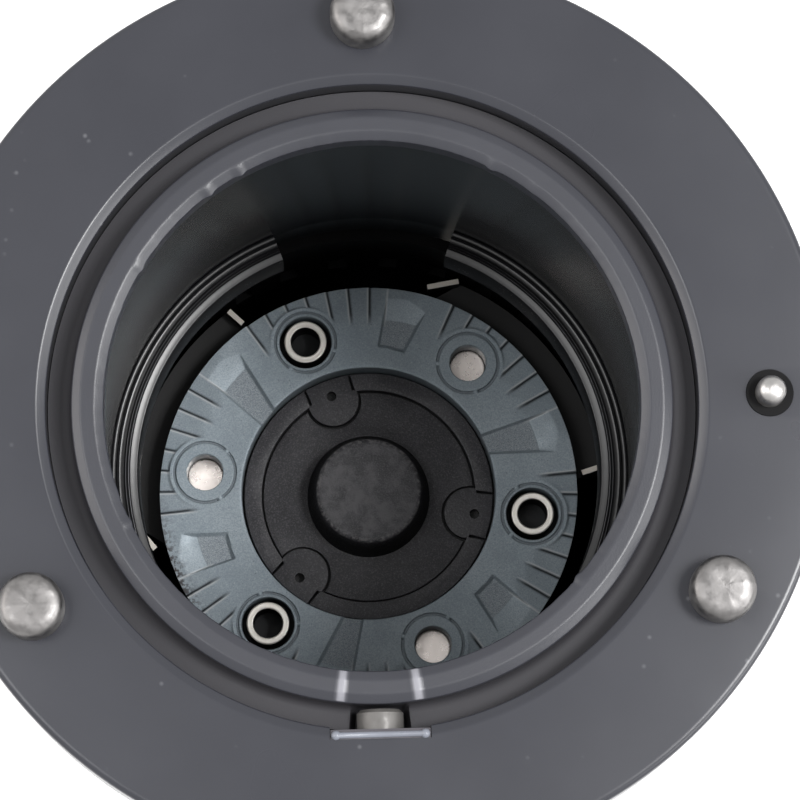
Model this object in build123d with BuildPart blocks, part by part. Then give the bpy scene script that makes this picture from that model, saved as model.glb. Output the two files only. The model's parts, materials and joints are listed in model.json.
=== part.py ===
from build123d import *
import os

# Kitchen food-waste disposer, in millimetres. The origin is the centre of the throat's mouth in
# the plane of the mounting plate, +Z is up along the motor shaft and -Y points at the latch.
# Heights are negative going down into the machine.

os.makedirs("parts", exist_ok=True)

# Driving dimensions
throat_r = 45.0
lip_r = 50.4
groove_r = 54.7
plate_r = 77.0
plate_t = 9.0
plate_skirt = 16.0
stud_circle_r = 66.1
stud_head_r = 5.5
stud_head_h = 6.5
stud_angles = (90, 210, 330)
pin_circle_r = 66.6
pin_r = 2.5
plunger_r = 3.9
plunger_z = -4.95
ledge_top = -83.0
ledge_inner_r = 43.2
chamber_r = 48.3
joint_top = -94.0
disc_top = -113.0
disc_t = 7.0
disc_r = 40.5
disc_bore_r = 24.6
vane_r = 46.0
feature_r = 32.0
bushing_angle = 111.2
disc_pin_angle = 51.4
pocket_angle = 17.1
hub_ring_r = 20.6
hub_top = -118.6
tongue_angle = 108.8
knob_r = 12.0
shaft_r = 6.0
housing_floor = -166.0
housing_bottom = -172.0
flange_r = 61.5
outlet_z = -146.0
outlet_r = 19.0
outlet_bore_r = 17.0
outlet_screw_x = 24.5
inlet_z = -66.0
inlet_r = 11.0
inlet_bore_r = 8.0
stator_top = -200.0
stator_bottom = -240.0
shell_r = 66.0
shell_wall = 2.5
shell_joint = -180.0
base_top = -288.0
base_bottom = -292.0
floor_z = -300.0
gland_z = -279.0
running = 0.05
chamber_screw_angles = range(15, 360, 60)
quarter_angles = (45, 135, 225, 315)
bolt_angles = (20, 110, 200, 290)
post_angles = (0, 120, 240)
case_screw_r = 58.0
post_circle_r = 48.0
reset_circle_r = 38.0
foot_circle_r = 50.0


def turned(*points, mode=Mode.ADD):
    """Revolve an outline of (radius, height) points about the machine's axis."""
    with BuildSketch(Plane.XZ) as profile:
        with BuildLine():
            Polyline(*points, close=True)
        make_face()
    revolve(profile.sketch, axis=Axis.Z, mode=mode)


def rod(radius, low, high, bore=0.0, mode=Mode.ADD):
    """Upright round bar or tube between two heights, at each active location's centre."""
    with BuildSketch(Plane.XY.offset(low)) as section:
        Circle(radius)
        if bore:
            Circle(bore, mode=Mode.SUBTRACT)
    extrude(section.sketch, amount=high - low, mode=mode)


def rods(radius, low, high, circle_r, angles, bore=0.0, mode=Mode.ADD):
    """The same round bar repeated at several angles on a circle."""
    spots = [Vector(circle_r, 0).rotate(Axis.Z, angle) for angle in angles]
    with BuildSketch(Plane.XY.offset(low)) as section:
        with Locations(*spots):
            Circle(radius)
            if bore:
                Circle(bore, mode=Mode.SUBTRACT)
    extrude(section.sketch, amount=high - low, mode=mode)


def side_rod(radius, start, end, height, axis_dir, bore=0.0, mode=Mode.ADD):
    """Level round bar or tube that points outwards from the machine's axis."""
    plane = Plane(origin=Vector(*axis_dir) * start + Vector(0, 0, height), z_dir=axis_dir)
    with BuildSketch(plane) as section:
        Circle(radius)
        if bore:
            Circle(bore, mode=Mode.SUBTRACT)
    extrude(section.sketch, amount=end - start, mode=mode)


def block(x_low, x_high, y_low, y_high, z_low, z_high, mode=Mode.ADD):
    """Rectangular block between its limits."""
    with BuildSketch(Plane.XY.offset(z_low)) as section:
        with Locations(((x_low + x_high) / 2, (y_low + y_high) / 2)):
            Rectangle(x_high - x_low, y_high - y_low)
    extrude(section.sketch, amount=z_high - z_low, mode=mode)


def coil(radius, wire_r, length, turns, start, direction):
    """Open compression spring that starts at a point and runs along a direction."""
    with BuildLine() as path:
        Helix(pitch=length / turns, height=length, radius=radius, center=start, direction=direction)
    with BuildSketch(Plane(origin=path.line @ 0, z_dir=path.line % 0)) as wire:
        Circle(wire_r)
    sweep(wire.sketch, path=path.line, is_frenet=True)


def outlet_oval(grow, start, end, mode=Mode.ADD):
    """Oval plate around the drain outlet, with an ear for a screw at each side."""
    with BuildSketch(Plane(origin=(0, start, outlet_z), x_dir=(1, 0, 0), z_dir=back)) as oval:
        Circle(outlet_r + 2.5 + grow)
        with Locations((-outlet_screw_x, 0), (outlet_screw_x, 0)):
            Circle(4.5 + grow)
        make_hull()
    extrude(oval.sketch, amount=end - start, mode=mode)


def outlet_holes(radius, start, end, mode=Mode.SUBTRACT):
    """The pair of screw holes or screws beside the drain outlet."""
    with BuildSketch(Plane(origin=(0, start, outlet_z), x_dir=(1, 0, 0), z_dir=back)) as pair:
        with Locations((-outlet_screw_x, 0), (outlet_screw_x, 0)):
            Circle(radius)
    extrude(pair.sketch, amount=end - start, mode=mode)


def top_circles(builder):
    """Circular edges at the highest level of a part, from the smallest to the largest."""
    return builder.edges().filter_by(GeomType.CIRCLE).group_by(Axis.Z)[-1].sort_by(SortBy.RADIUS)


front = (0, -1, 0)
back = (0, 1, 0)
left = (-1, 0, 0)
up = (0, 0, 1)

# ---------------------------------------------------------------- top of the machine

latch_half = 8.4
latch_front = -groove_r + 0.2
latch_back = -72.0
latch_roof = -0.7
nose_y = -56.8
latch_rib_x = 5.7
latch_rib_t = 1.3

with BuildPart() as mounting_plate:
    turned(
        (groove_r, 0), (plate_r, 0), (plate_r, -plate_skirt), (plate_r - 2.5, -plate_skirt),
        (plate_r - 2.5, -plate_t), (groove_r, -plate_t),
    )
    groove_rim = top_circles(mounting_plate)[0]
    fillet(groove_rim, radius=1.5)
    outer_rim = top_circles(mounting_plate)[-1]
    fillet(outer_rim, radius=1.0)
    rods(2.6, -plate_t, 1, stud_circle_r, stud_angles, mode=Mode.SUBTRACT)
    rods(4.0, -plate_t, 1, pin_circle_r, (0,), mode=Mode.SUBTRACT)
    rods(1.5, -plate_t, -2.5, case_screw_r, quarter_angles, mode=Mode.SUBTRACT)
    block(-latch_half, latch_half, latch_back, nose_y, -plate_t, latch_roof, mode=Mode.SUBTRACT)
    block(-latch_half, latch_half, nose_y, -50, -plate_t, 1, mode=Mode.SUBTRACT)
mounting_plate.part.label = "mounting_plate"
export_step(mounting_plate.part, "parts/mounting_plate.step")

with BuildPart() as throat_tube:
    turned(
        (throat_r, 0), (lip_r, 0), (lip_r, -plate_t), (61, -plate_t), (61, -12), (51.4, -12),
        (51.4, -89), (flange_r, -89), (flange_r, joint_top), (chamber_r, joint_top),
        (chamber_r, -80), (46.5, -8), (throat_r, -5),
    )
    lip_outer_edge = top_circles(throat_tube)[-1]
    fillet(lip_outer_edge, radius=1.2)
    rods(1.6, -13, -8, case_screw_r, quarter_angles, mode=Mode.SUBTRACT)
    rods(1.6, -95, -88, case_screw_r, chamber_screw_angles, mode=Mode.SUBTRACT)
    side_rod(14, 48.5, 56, inlet_z, left)
    side_rod(9, 52.6, 57, inlet_z, left, mode=Mode.SUBTRACT)
    for side in (-1, 1):
        rib_x = side * latch_rib_x
        block(rib_x - latch_rib_t / 2, rib_x + latch_rib_t / 2, -50.2, -45.3, -0.5, 0.35)
throat_tube.part.label = "throat_tube"
export_step(throat_tube.part, "parts/throat_tube.step")

# Bayonet ring: a ledge with a gap at the back and two fine ridges on its upper face.
with BuildPart() as bayonet_ring:
    turned(
        (ledge_inner_r, ledge_top - 0.3), (ledge_inner_r + 0.3, ledge_top), (45.0, ledge_top),
        (45.3, ledge_top + 0.5), (45.6, ledge_top), (46.1, ledge_top), (46.4, ledge_top + 0.5),
        (46.7, ledge_top), (48.2, ledge_top), (48.2, -93.5), (ledge_inner_r, -93.5),
    )
    block(-15.2, 15.2, 30, 60, -90, -80, mode=Mode.SUBTRACT)
bayonet_ring.part.label = "bayonet_ring"
export_step(bayonet_ring.part, "parts/bayonet_ring.step")

with BuildPart() as mount_studs:
    rods(stud_head_r, 0, stud_head_h, stud_circle_r, stud_angles)
    fillet(mount_studs.edges().filter_by(GeomType.CIRCLE).group_by(Axis.Z)[-1], radius=2.2)
    rods(2.5, -18, 0, stud_circle_r, stud_angles)
mount_studs.part.label = "mount_studs"
export_step(mount_studs.part, "parts/mount_studs.step")

with BuildPart() as stud_nuts:
    with BuildSketch(Plane.XY.offset(-13)) as nut_section:
        with PolarLocations(stud_circle_r, 3, start_angle=90):
            RegularPolygon(4.6, 6)
            Circle(2.55, mode=Mode.SUBTRACT)
    extrude(amount=4)
stud_nuts.part.label = "stud_nuts"
export_step(stud_nuts.part, "parts/stud_nuts.step")

with BuildPart() as throat_screws:
    rods(1.45, -12, -3, case_screw_r, quarter_angles)
    rods(2.7, -14.4, -12, case_screw_r, quarter_angles)
throat_screws.part.label = "throat_screws"
export_step(throat_screws.part, "parts/throat_screws.step")

# ---------------------------------------------------------------- interlock

with BuildPart() as interlock_collar:
    rods(3.95, -plate_t, 0.3, pin_circle_r, (0,), bore=pin_r + running)
interlock_collar.part.label = "interlock_collar"
export_step(interlock_collar.part, "parts/interlock_collar.step")

with BuildPart() as interlock_pin:
    rods(pin_r, -30, 5, pin_circle_r, (0,))
    fillet(interlock_pin.edges().filter_by(GeomType.CIRCLE).group_by(Axis.Z)[-1], radius=2.2)
    rods(3.4, -14.5, -12.5, pin_circle_r, (0,))
interlock_pin.part.label = "interlock_pin"
export_step(interlock_pin.part, "parts/interlock_pin.step")

with BuildPart() as interlock_switch:
    block(60.6, 73, -8, 8, -36, -12.1)
    block(62.2, 73, -5, 5, -12.1, -plate_t)
    rods(pin_r + 0.4, -13, -8, pin_circle_r, (0,), mode=Mode.SUBTRACT)
    rods(3.8, -34.5, -12.4, pin_circle_r, (0,), mode=Mode.SUBTRACT)
interlock_switch.part.label = "interlock_switch"
export_step(interlock_switch.part, "parts/interlock_switch.step")

with BuildPart() as interlock_spring:
    coil(3.1, 0.35, 18.6, 7, (pin_circle_r, 0, -33.9), up)
interlock_spring.part.label = "interlock_spring"
export_step(interlock_spring.part, "parts/interlock_spring.step")

# ---------------------------------------------------------------- latch

wing_half = 4.8
wing_t = 2.6

# The plunger's bore runs right through the block and is closed by a cap. Two side wings on the
# plunger run in a slot and stop it from leaving at the front.
with BuildPart() as latch_block:
    block(-latch_half + 0.1, latch_half - 0.1, latch_back + 0.1, latch_front, -plate_t, latch_roof - 0.1)
    block(-latch_half + 0.1, latch_half - 0.1, nose_y + 0.1, latch_front, latch_roof - 0.1, -0.3)
    nose_top = latch_block.faces().sort_by(Axis.Z)[-1]
    chamfer(nose_top.edges().filter_by(Axis.X).sort_by(Axis.Y)[-1], length=0.7)
    side_rod(plunger_r + running, 50, 72.5, plunger_z, front, mode=Mode.SUBTRACT)
    slot_low = plunger_z - wing_t / 2 - 0.1
    slot_high = plunger_z + wing_t / 2 + 0.1
    block(-wing_half - 0.1, wing_half + 0.1, -72.5, -60.5, slot_low, slot_high, mode=Mode.SUBTRACT)
latch_block.part.label = "latch_block"
export_step(latch_block.part, "parts/latch_block.step")

with BuildPart() as latch_plunger:
    side_rod(plunger_r, 51.1, 64, plunger_z, front)
    chamfer(latch_plunger.edges().filter_by(GeomType.CIRCLE).sort_by(Axis.Y)[-1], length=0.6)
    block(-wing_half, wing_half, -63, -60.7, plunger_z - wing_t / 2, plunger_z + wing_t / 2)
latch_plunger.part.label = "latch_plunger"
export_step(latch_plunger.part, "parts/latch_plunger.step")

with BuildPart() as latch_cap:
    side_rod(plunger_r, 70.4, 71.9, plunger_z, front)
latch_cap.part.label = "latch_cap"
export_step(latch_cap.part, "parts/latch_cap.step")

with BuildPart() as latch_spring:
    coil(2.5, 0.35, 5.6, 5, (0, -64.4, plunger_z), front)
latch_spring.part.label = "latch_spring"
export_step(latch_spring.part, "parts/latch_spring.step")

# ---------------------------------------------------------------- grinding chamber

with BuildPart() as chamber_gasket:
    rod(flange_r, joint_top - 1.5, joint_top, bore=50.3)
    rods(1.6, joint_top - 2, joint_top + 1, case_screw_r, chamber_screw_angles, mode=Mode.SUBTRACT)
chamber_gasket.part.label = "chamber_gasket"
export_step(chamber_gasket.part, "parts/chamber_gasket.step")

with BuildPart() as grind_housing:
    turned(
        (0, joint_top - 1.5), (flange_r, joint_top - 1.5), (flange_r, -100.5), (54.3, -100.5),
        (54.3, -168), (flange_r, -168), (flange_r, housing_bottom), (0, housing_bottom),
    )
    outlet_oval(0, 40, 62.5)
    turned(
        (0, -90), (50.3, -90), (50.3, -128), (48.8, -128), (48.8, housing_floor + 6),
        (44, housing_floor), (14, housing_floor), (12, -143), (0, -143), mode=Mode.SUBTRACT,
    )
    side_rod(outlet_bore_r, 30, 63, outlet_z, back, mode=Mode.SUBTRACT)
    rod(shaft_r + 0.8, -180, -130, mode=Mode.SUBTRACT)
    rod(10.0, -150, -140, mode=Mode.SUBTRACT)
    rods(1.5, -101, -90, case_screw_r, chamber_screw_angles, mode=Mode.SUBTRACT)
    rods(1.5, -173, -167.5, case_screw_r, quarter_angles, mode=Mode.SUBTRACT)
    outlet_holes(1.5, 54, 63)
grind_housing.part.label = "grind_housing"
export_step(grind_housing.part, "parts/grind_housing.step")

with BuildPart() as chamber_screws:
    rods(1.45, -100.5, -89, case_screw_r, chamber_screw_angles)
    rods(2.7, -89, -86.5, case_screw_r, chamber_screw_angles)
chamber_screws.part.label = "chamber_screws"
export_step(chamber_screws.part, "parts/chamber_screws.step")

shredder_bore_r = 47.2
slot_top = -116.5
slot_bottom = -126.0

# Fixed ring with a row of upright slots that the waste is thrown through.
with BuildPart() as shredder_ring:
    rod(50.2, -127.9, -99, bore=shredder_bore_r)
    with BuildSketch(Plane.XY.offset(slot_bottom)) as slots:
        with PolarLocations(shredder_bore_r, 30):
            Rectangle(3.2, 3.6)
    extrude(slots.sketch, amount=slot_top - slot_bottom, mode=Mode.SUBTRACT)
shredder_ring.part.label = "shredder_ring"
export_step(shredder_ring.part, "parts/shredder_ring.step")

# ---------------------------------------------------------------- rotating group

with BuildPart() as grinding_disc:
    rod(disc_r, disc_top - disc_t, disc_top, bore=disc_bore_r)
    with BuildSketch(Plane.XY.offset(disc_top - 1.4)) as pockets:
        with BuildLine():
            Polyline(
                Vector(29.5, 0).rotate(Axis.Z, pocket_angle + 6.5),
                Vector(36.5, 0).rotate(Axis.Z, pocket_angle + 5.5),
                Vector(39.0, 0).rotate(Axis.Z, pocket_angle - 5.5),
                Vector(29.5, 0).rotate(Axis.Z, pocket_angle - 2.5),
                close=True,
            )
        make_face()
    with PolarLocations(0, 6):
        add(extrude(pockets.sketch, amount=2, mode=Mode.PRIVATE), mode=Mode.SUBTRACT)
    bushing_angles = [bushing_angle + 120 * k for k in range(3)]
    disc_pin_angles = [disc_pin_angle + 120 * k for k in range(3)]
    rods(5.05, disc_top - 1.5, disc_top + 1, feature_r, bushing_angles, mode=Mode.SUBTRACT)
    rods(4.15, disc_top - 8, disc_top, feature_r, bushing_angles, mode=Mode.SUBTRACT)
    rods(3.15, disc_top - 8, disc_top + 1, feature_r, disc_pin_angles, mode=Mode.SUBTRACT)
grinding_disc.part.label = "grinding_disc"
export_step(grinding_disc.part, "parts/grinding_disc.step")

with BuildPart() as disc_bushings:
    rods(4.1, -120, disc_top + 0.5, feature_r, bushing_angles, bore=3.0)
disc_bushings.part.label = "disc_bushings"
export_step(disc_bushings.part, "parts/disc_bushings.step")

# Rivets that hold the carrier under the disc, seen at the bottom of the disc's open holes.
with BuildPart() as disc_pins:
    rods(3.1, -125, disc_top - 6, feature_r, disc_pin_angles)
    rods(4.6, -126.4, -125, feature_r, disc_pin_angles)
disc_pins.part.label = "disc_pins"
export_step(disc_pins.part, "parts/disc_pins.step")

tongue_angles = [tongue_angle + 120 * k for k in range(3)]

with BuildPart() as hub_ring:
    rod(disc_bore_r - 0.2, -120, hub_top + 1.2, bore=hub_ring_r)
    rods(5.3, -120, hub_top + 1.2, 20.0, tongue_angles)
    rods(1.0, -121, -110, 20.9, tongue_angles, mode=Mode.SUBTRACT)
    rod(60, -122, -110, bore=disc_bore_r - 0.2, mode=Mode.SUBTRACT)
hub_ring.part.label = "hub_ring"
export_step(hub_ring.part, "parts/hub_ring.step")

with BuildPart() as hub_plate:
    rod(hub_ring_r - 0.15, -120, hub_top, bore=7.2)
    rods(5.45, -121, -110, 20.0, tongue_angles, mode=Mode.SUBTRACT)
hub_plate.part.label = "hub_plate"
export_step(hub_plate.part, "parts/hub_plate.step")

with BuildPart() as hub_cap:
    turned((0, hub_top), (knob_r, hub_top), (knob_r - 0.7, hub_top + 2), (9.6, -109.8), (0, -109.8))
    fillet(hub_cap.edges().filter_by(GeomType.CIRCLE).group_by(Axis.Z)[-1], radius=1.8)
    rod(7.2, hub_top - 1, -111.8, mode=Mode.SUBTRACT)
hub_cap.part.label = "hub_cap"
export_step(hub_cap.part, "parts/hub_cap.step")

with BuildPart() as shaft_nut:
    with BuildSketch(Plane.XY.offset(-119.9)) as nut_outline:
        RegularPolygon(6.4, 6)
        Circle(4.05, mode=Mode.SUBTRACT)
    extrude(amount=5)
shaft_nut.part.label = "shaft_nut"
export_step(shaft_nut.part, "parts/shaft_nut.step")

carrier_top = -120.1
carrier_bottom = -125.0
rib_t = 1.0
rib_h = 4.0


def around(radius, angle, turn):
    """Point on the machine's plan, turned to one of the three vanes."""
    return Vector(radius, 0).rotate(Axis.Z, angle + turn)


# Carrier under the disc: a hub and three wide vanes that sweep the gap beside the shredder ring.
# An upright rib stands at each end of a vane.
with BuildPart() as vane_carrier:
    rod(disc_r - 0.5, carrier_bottom, carrier_top)
    for turn in (0, 120, 240):
        with BuildSketch(Plane.XY.offset(carrier_bottom)) as vane_section:
            with BuildLine():
                first = around(38, 3, turn)
                second = around(vane_r, 5, turn)
                third = around(vane_r, 65.4, turn)
                last = around(39, 74, turn)
                Line(first, second)
                ThreePointArc(second, around(vane_r, 35, turn), third)
                Line(third, last)
                Line(last, first)
            make_face()
        extrude(vane_section.sketch, amount=carrier_top - carrier_bottom)
        with BuildSketch(Plane.XY.offset(carrier_top)) as rib_sections:
            with BuildLine():
                trailing_rib = Line(around(42.7, 72.9, turn), around(45.8, 65.9, turn))
            trace(trailing_rib, line_width=rib_t)
            with BuildLine():
                leading_rib = Line(around(41.8, 4.6, turn), around(45.5, 5.6, turn))
            trace(leading_rib, line_width=rib_t)
        extrude(rib_sections.sketch, amount=rib_h)
    rods(3.15, carrier_bottom - 1, carrier_top + 0.1, feature_r, disc_pin_angles, mode=Mode.SUBTRACT)
    rods(3.0, carrier_bottom - 1, carrier_top + 0.1, feature_r, bushing_angles, mode=Mode.SUBTRACT)
    rod(12, -131, carrier_bottom)
    rod(shaft_r + 0.02, -132, -119, mode=Mode.SUBTRACT)
vane_carrier.part.label = "vane_carrier"
export_step(vane_carrier.part, "parts/vane_carrier.step")

with BuildPart() as motor_shaft:
    rod(shaft_r, -267, -120.1)
    rod(4.0, -120.1, -113.5)
    chamfer(motor_shaft.edges().filter_by(GeomType.CIRCLE).group_by(Axis.Z)[0], length=0.8)
motor_shaft.part.label = "motor_shaft"
export_step(motor_shaft.part, "parts/motor_shaft.step")

with BuildPart() as water_slinger:
    turned(
        (shaft_r + 0.02, -135), (12.5, -137), (12.5, -138.2), (shaft_r + 0.02, -138.2),
    )
water_slinger.part.label = "water_slinger"
export_step(water_slinger.part, "parts/water_slinger.step")

with BuildPart() as rotor_core:
    rod(29.5, stator_bottom, stator_top, bore=shaft_r + 0.02)
rotor_core.part.label = "rotor_core"
export_step(rotor_core.part, "parts/rotor_core.step")

with BuildPart() as rotor_end_rings:
    rod(28, stator_top, stator_top + 5, bore=18)
    rod(28, stator_bottom - 5, stator_bottom, bore=18)
rotor_end_rings.part.label = "rotor_end_rings"
export_step(rotor_end_rings.part, "parts/rotor_end_rings.step")

# ---------------------------------------------------------------- motor's fixed parts

with BuildPart() as shaft_seal:
    rod(9.95, -149.8, -143.2, bore=shaft_r + running)
shaft_seal.part.label = "shaft_seal"
export_step(shaft_seal.part, "parts/shaft_seal.step")

with BuildPart() as upper_bearing:
    rod(13, -194, -184, bore=shaft_r + running)
upper_bearing.part.label = "upper_bearing"
export_step(upper_bearing.part, "parts/upper_bearing.step")

with BuildPart() as lower_bearing:
    rod(11, -265, -257, bore=shaft_r + running)
lower_bearing.part.label = "lower_bearing"
export_step(lower_bearing.part, "parts/lower_bearing.step")

with BuildPart() as upper_end_bell:
    turned(
        (17, housing_bottom), (flange_r, housing_bottom), (flange_r, stator_top), (54, stator_top),
        (54, -178), (17, -178), (17, -195), (8, -195), (8, -194), (13.05, -194), (13.05, -182),
        (8, -182), (8, housing_bottom),
    )
    rods(2.4, -201, -182, case_screw_r, bolt_angles, mode=Mode.SUBTRACT)
    rods(1.6, -201, -171, case_screw_r, quarter_angles, mode=Mode.SUBTRACT)
    rods(3.0, -201, -178, case_screw_r, quarter_angles, mode=Mode.SUBTRACT)
upper_end_bell.part.label = "upper_end_bell"
export_step(upper_end_bell.part, "parts/upper_end_bell.step")

with BuildPart() as housing_screws:
    rods(1.45, -178, -168.5, case_screw_r, quarter_angles)
    rods(2.8, -180.5, -178, case_screw_r, quarter_angles)
housing_screws.part.label = "housing_screws"
export_step(housing_screws.part, "parts/housing_screws.step")

with BuildPart() as stator_core:
    rod(flange_r, stator_bottom, stator_top, bore=30.2)
    with BuildSketch(Plane.XY.offset(stator_bottom)) as winding_slots:
        with PolarLocations(41.5, 24):
            SlotOverall(17, 5.2)
    extrude(winding_slots.sketch, amount=stator_top - stator_bottom, mode=Mode.SUBTRACT)
    rods(2.4, -241, -199, case_screw_r, bolt_angles, mode=Mode.SUBTRACT)
stator_core.part.label = "stator_core"
export_step(stator_core.part, "parts/stator_core.step")

with BuildPart() as stator_windings:
    rod(50, stator_top + 0.1, stator_top + 13, bore=33)
    rod(50, stator_bottom - 13, stator_bottom - 0.1, bore=33)
    fillet(stator_windings.edges().filter_by(GeomType.CIRCLE), radius=3.5)
stator_windings.part.label = "stator_windings"
export_step(stator_windings.part, "parts/stator_windings.step")

with BuildPart() as lower_end_bell:
    turned(
        (flange_r, stator_bottom), (flange_r, -270), (8, -270), (8, -265), (11.05, -265),
        (11.05, -255), (16, -255), (16, -266), (54, -266), (54, stator_bottom),
    )
    rods(2.4, -271, -239, case_screw_r, bolt_angles, mode=Mode.SUBTRACT)
    rods(7.0, -271, -265, 34.0, range(30, 360, 60), mode=Mode.SUBTRACT)
    rods(4.0, base_top, -270, post_circle_r, post_angles)
    rods(1.5, base_top - 1, -274, post_circle_r, post_angles, mode=Mode.SUBTRACT)
lower_end_bell.part.label = "lower_end_bell"
export_step(lower_end_bell.part, "parts/lower_end_bell.step")

with BuildPart() as through_bolts:
    rods(2.2, -270, -183, case_screw_r, bolt_angles)
    rods(3.4, -273, -270, case_screw_r, bolt_angles)
through_bolts.part.label = "through_bolts"
export_step(through_bolts.part, "parts/through_bolts.step")

# ---------------------------------------------------------------- outlet and inlet

with BuildPart() as outlet_gasket:
    outlet_oval(0, 62.5, 64.5)
    side_rod(outlet_bore_r, 62, 65, outlet_z, back, mode=Mode.SUBTRACT)
    outlet_holes(1.6, 62, 65)
outlet_gasket.part.label = "outlet_gasket"
export_step(outlet_gasket.part, "parts/outlet_gasket.step")

elbow_turn_y = 76.0
elbow_bend_r = 26.0
elbow_end_z = -200.0

with BuildPart() as outlet_elbow:
    with BuildLine() as elbow_path:
        run_out = Line((0, 64.5, outlet_z), (0, elbow_turn_y, outlet_z))
        bend = TangentArc(
            run_out @ 1, (0, elbow_turn_y + elbow_bend_r, outlet_z - elbow_bend_r), tangent=(0, 1, 0)
        )
        Line(bend @ 1, (0, elbow_turn_y + elbow_bend_r, elbow_end_z))
    elbow_start = Plane(origin=(0, 64.5, outlet_z), z_dir=back)
    with BuildSketch(elbow_start) as elbow_outer:
        Circle(outlet_r)
    sweep(elbow_outer.sketch, path=elbow_path.line)
    outlet_oval(0, 64.5, 68.5)
    with BuildSketch(elbow_start) as elbow_inner:
        Circle(outlet_bore_r)
    sweep(elbow_inner.sketch, path=elbow_path.line, mode=Mode.SUBTRACT)
    outlet_holes(1.6, 64, 69)
outlet_elbow.part.label = "outlet_elbow"
export_step(outlet_elbow.part, "parts/outlet_elbow.step")

with BuildPart() as outlet_screws:
    outlet_holes(1.45, 55, 68.5, mode=Mode.ADD)
    outlet_holes(2.7, 68.5, 71, mode=Mode.ADD)
outlet_screws.part.label = "outlet_screws"
export_step(outlet_screws.part, "parts/outlet_screws.step")

with BuildPart() as dishwasher_inlet:
    side_rod(8.9, 53, 56, inlet_z, left)
    side_rod(inlet_r, 56, 96, inlet_z, left)
    side_rod(15.5, 69.5, 72, inlet_z, left)
    side_rod(inlet_bore_r, 52, 97, inlet_z, left, mode=Mode.SUBTRACT)
dishwasher_inlet.part.label = "dishwasher_inlet"
export_step(dishwasher_inlet.part, "parts/dishwasher_inlet.step")

with BuildPart() as inlet_grommet:
    side_rod(12.9, 60, 67, inlet_z, left, bore=inlet_r + 0.1)
    side_rod(15.5, 67, 69.4, inlet_z, left, bore=inlet_r + 0.1)
inlet_grommet.part.label = "inlet_grommet"
export_step(inlet_grommet.part, "parts/inlet_grommet.step")

# ---------------------------------------------------------------- outer shells

shell_top = -15.5
neck_r = 59.0
shell_bore_r = shell_r - shell_wall

with BuildPart() as upper_shell:
    turned(
        (neck_r - shell_wall, shell_top), (neck_r, shell_top), (neck_r, -38), (shell_r, -50),
        (shell_r, shell_joint), (shell_bore_r, shell_joint), (shell_bore_r, -51.2),
        (neck_r - shell_wall, -39.2),
    )
    side_rod(13, 50, 70, inlet_z, left, mode=Mode.SUBTRACT)
    outlet_oval(1, 40, 70, mode=Mode.SUBTRACT)
upper_shell.part.label = "upper_shell"
export_step(upper_shell.part, "parts/upper_shell.step")

with BuildPart() as neck_seal:
    rod(neck_r - shell_wall - 0.1, -24, -17, bore=51.45)
neck_seal.part.label = "neck_seal"
export_step(neck_seal.part, "parts/neck_seal.step")

with BuildPart() as sound_jacket:
    rod(shell_bore_r - 0.4, -167, -101.5, bore=54.6)
    outlet_oval(0.8, 30, 70, mode=Mode.SUBTRACT)
sound_jacket.part.label = "sound_jacket"
export_step(sound_jacket.part, "parts/sound_jacket.step")

with BuildPart() as trim_band:
    rod(shell_r + 1.6, shell_joint - 5, shell_joint + 5, bore=shell_r + 0.05)
    outer_edges = trim_band.edges().filter_by(GeomType.CIRCLE).group_by(SortBy.RADIUS)[-1]
    fillet(outer_edges, radius=1.0)
trim_band.part.label = "trim_band"
export_step(trim_band.part, "parts/trim_band.step")

vent_heights = (-262, -267, -272)

with BuildPart() as lower_shell:
    rod(shell_r, base_top, shell_joint, bore=shell_bore_r)
    for height in vent_heights:
        with BuildSketch(Plane.XY.offset(height)) as vents:
            with PolarLocations(shell_r, 8, start_angle=22.5):
                Rectangle(12, 26)
        extrude(vents.sketch, amount=2.2, mode=Mode.SUBTRACT)
    side_rod(6.1, 60, 70, gland_z, left, mode=Mode.SUBTRACT)
lower_shell.part.label = "lower_shell"
export_step(lower_shell.part, "parts/lower_shell.step")

with BuildPart() as base_cover:
    rod(shell_r, base_bottom, base_top)
    chamfer(base_cover.edges().filter_by(GeomType.CIRCLE).group_by(Axis.Z)[0], length=1.5)
    rod(shell_bore_r - 0.2, base_top, base_top + 5, bore=shell_bore_r - 2.7)
    block(-70, -55, -11, 11, base_top, base_top + 6, mode=Mode.SUBTRACT)
    rods(1.6, base_bottom - 1, base_top + 1, post_circle_r, post_angles, mode=Mode.SUBTRACT)
    rods(3.1, base_bottom - 1, base_bottom + 1.4, post_circle_r, post_angles, mode=Mode.SUBTRACT)
    rods(4.05, base_bottom - 1, base_top + 1, reset_circle_r, (270,), mode=Mode.SUBTRACT)
    rods(1.3, base_bottom + 1, base_top + 1, 40.0, (150,), mode=Mode.SUBTRACT)
    rods(2.05, base_bottom - 1, base_top + 1, foot_circle_r, quarter_angles, mode=Mode.SUBTRACT)
base_cover.part.label = "base_cover"
export_step(base_cover.part, "parts/base_cover.step")

with BuildPart() as base_screws:
    rods(1.45, base_bottom + 1.4, -275, post_circle_r, post_angles)
    rods(2.8, base_bottom - 0.6, base_bottom + 1.4, post_circle_r, post_angles)
base_screws.part.label = "base_screws"
export_step(base_screws.part, "parts/base_screws.step")

# Push-in rubber feet, each with a barbed stem through the base cover.
with BuildPart() as feet:
    rods(8.5, floor_z, base_bottom, foot_circle_r, quarter_angles)
    fillet(feet.edges().filter_by(GeomType.CIRCLE).group_by(Axis.Z)[0], radius=1.5)
    rods(2.0, base_bottom, base_top, foot_circle_r, quarter_angles)
    rods(3.2, base_top, base_top + 2.5, foot_circle_r, quarter_angles)
feet.part.label = "feet"
export_step(feet.part, "parts/feet.step")

# ---------------------------------------------------------------- electrics in the base

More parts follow.
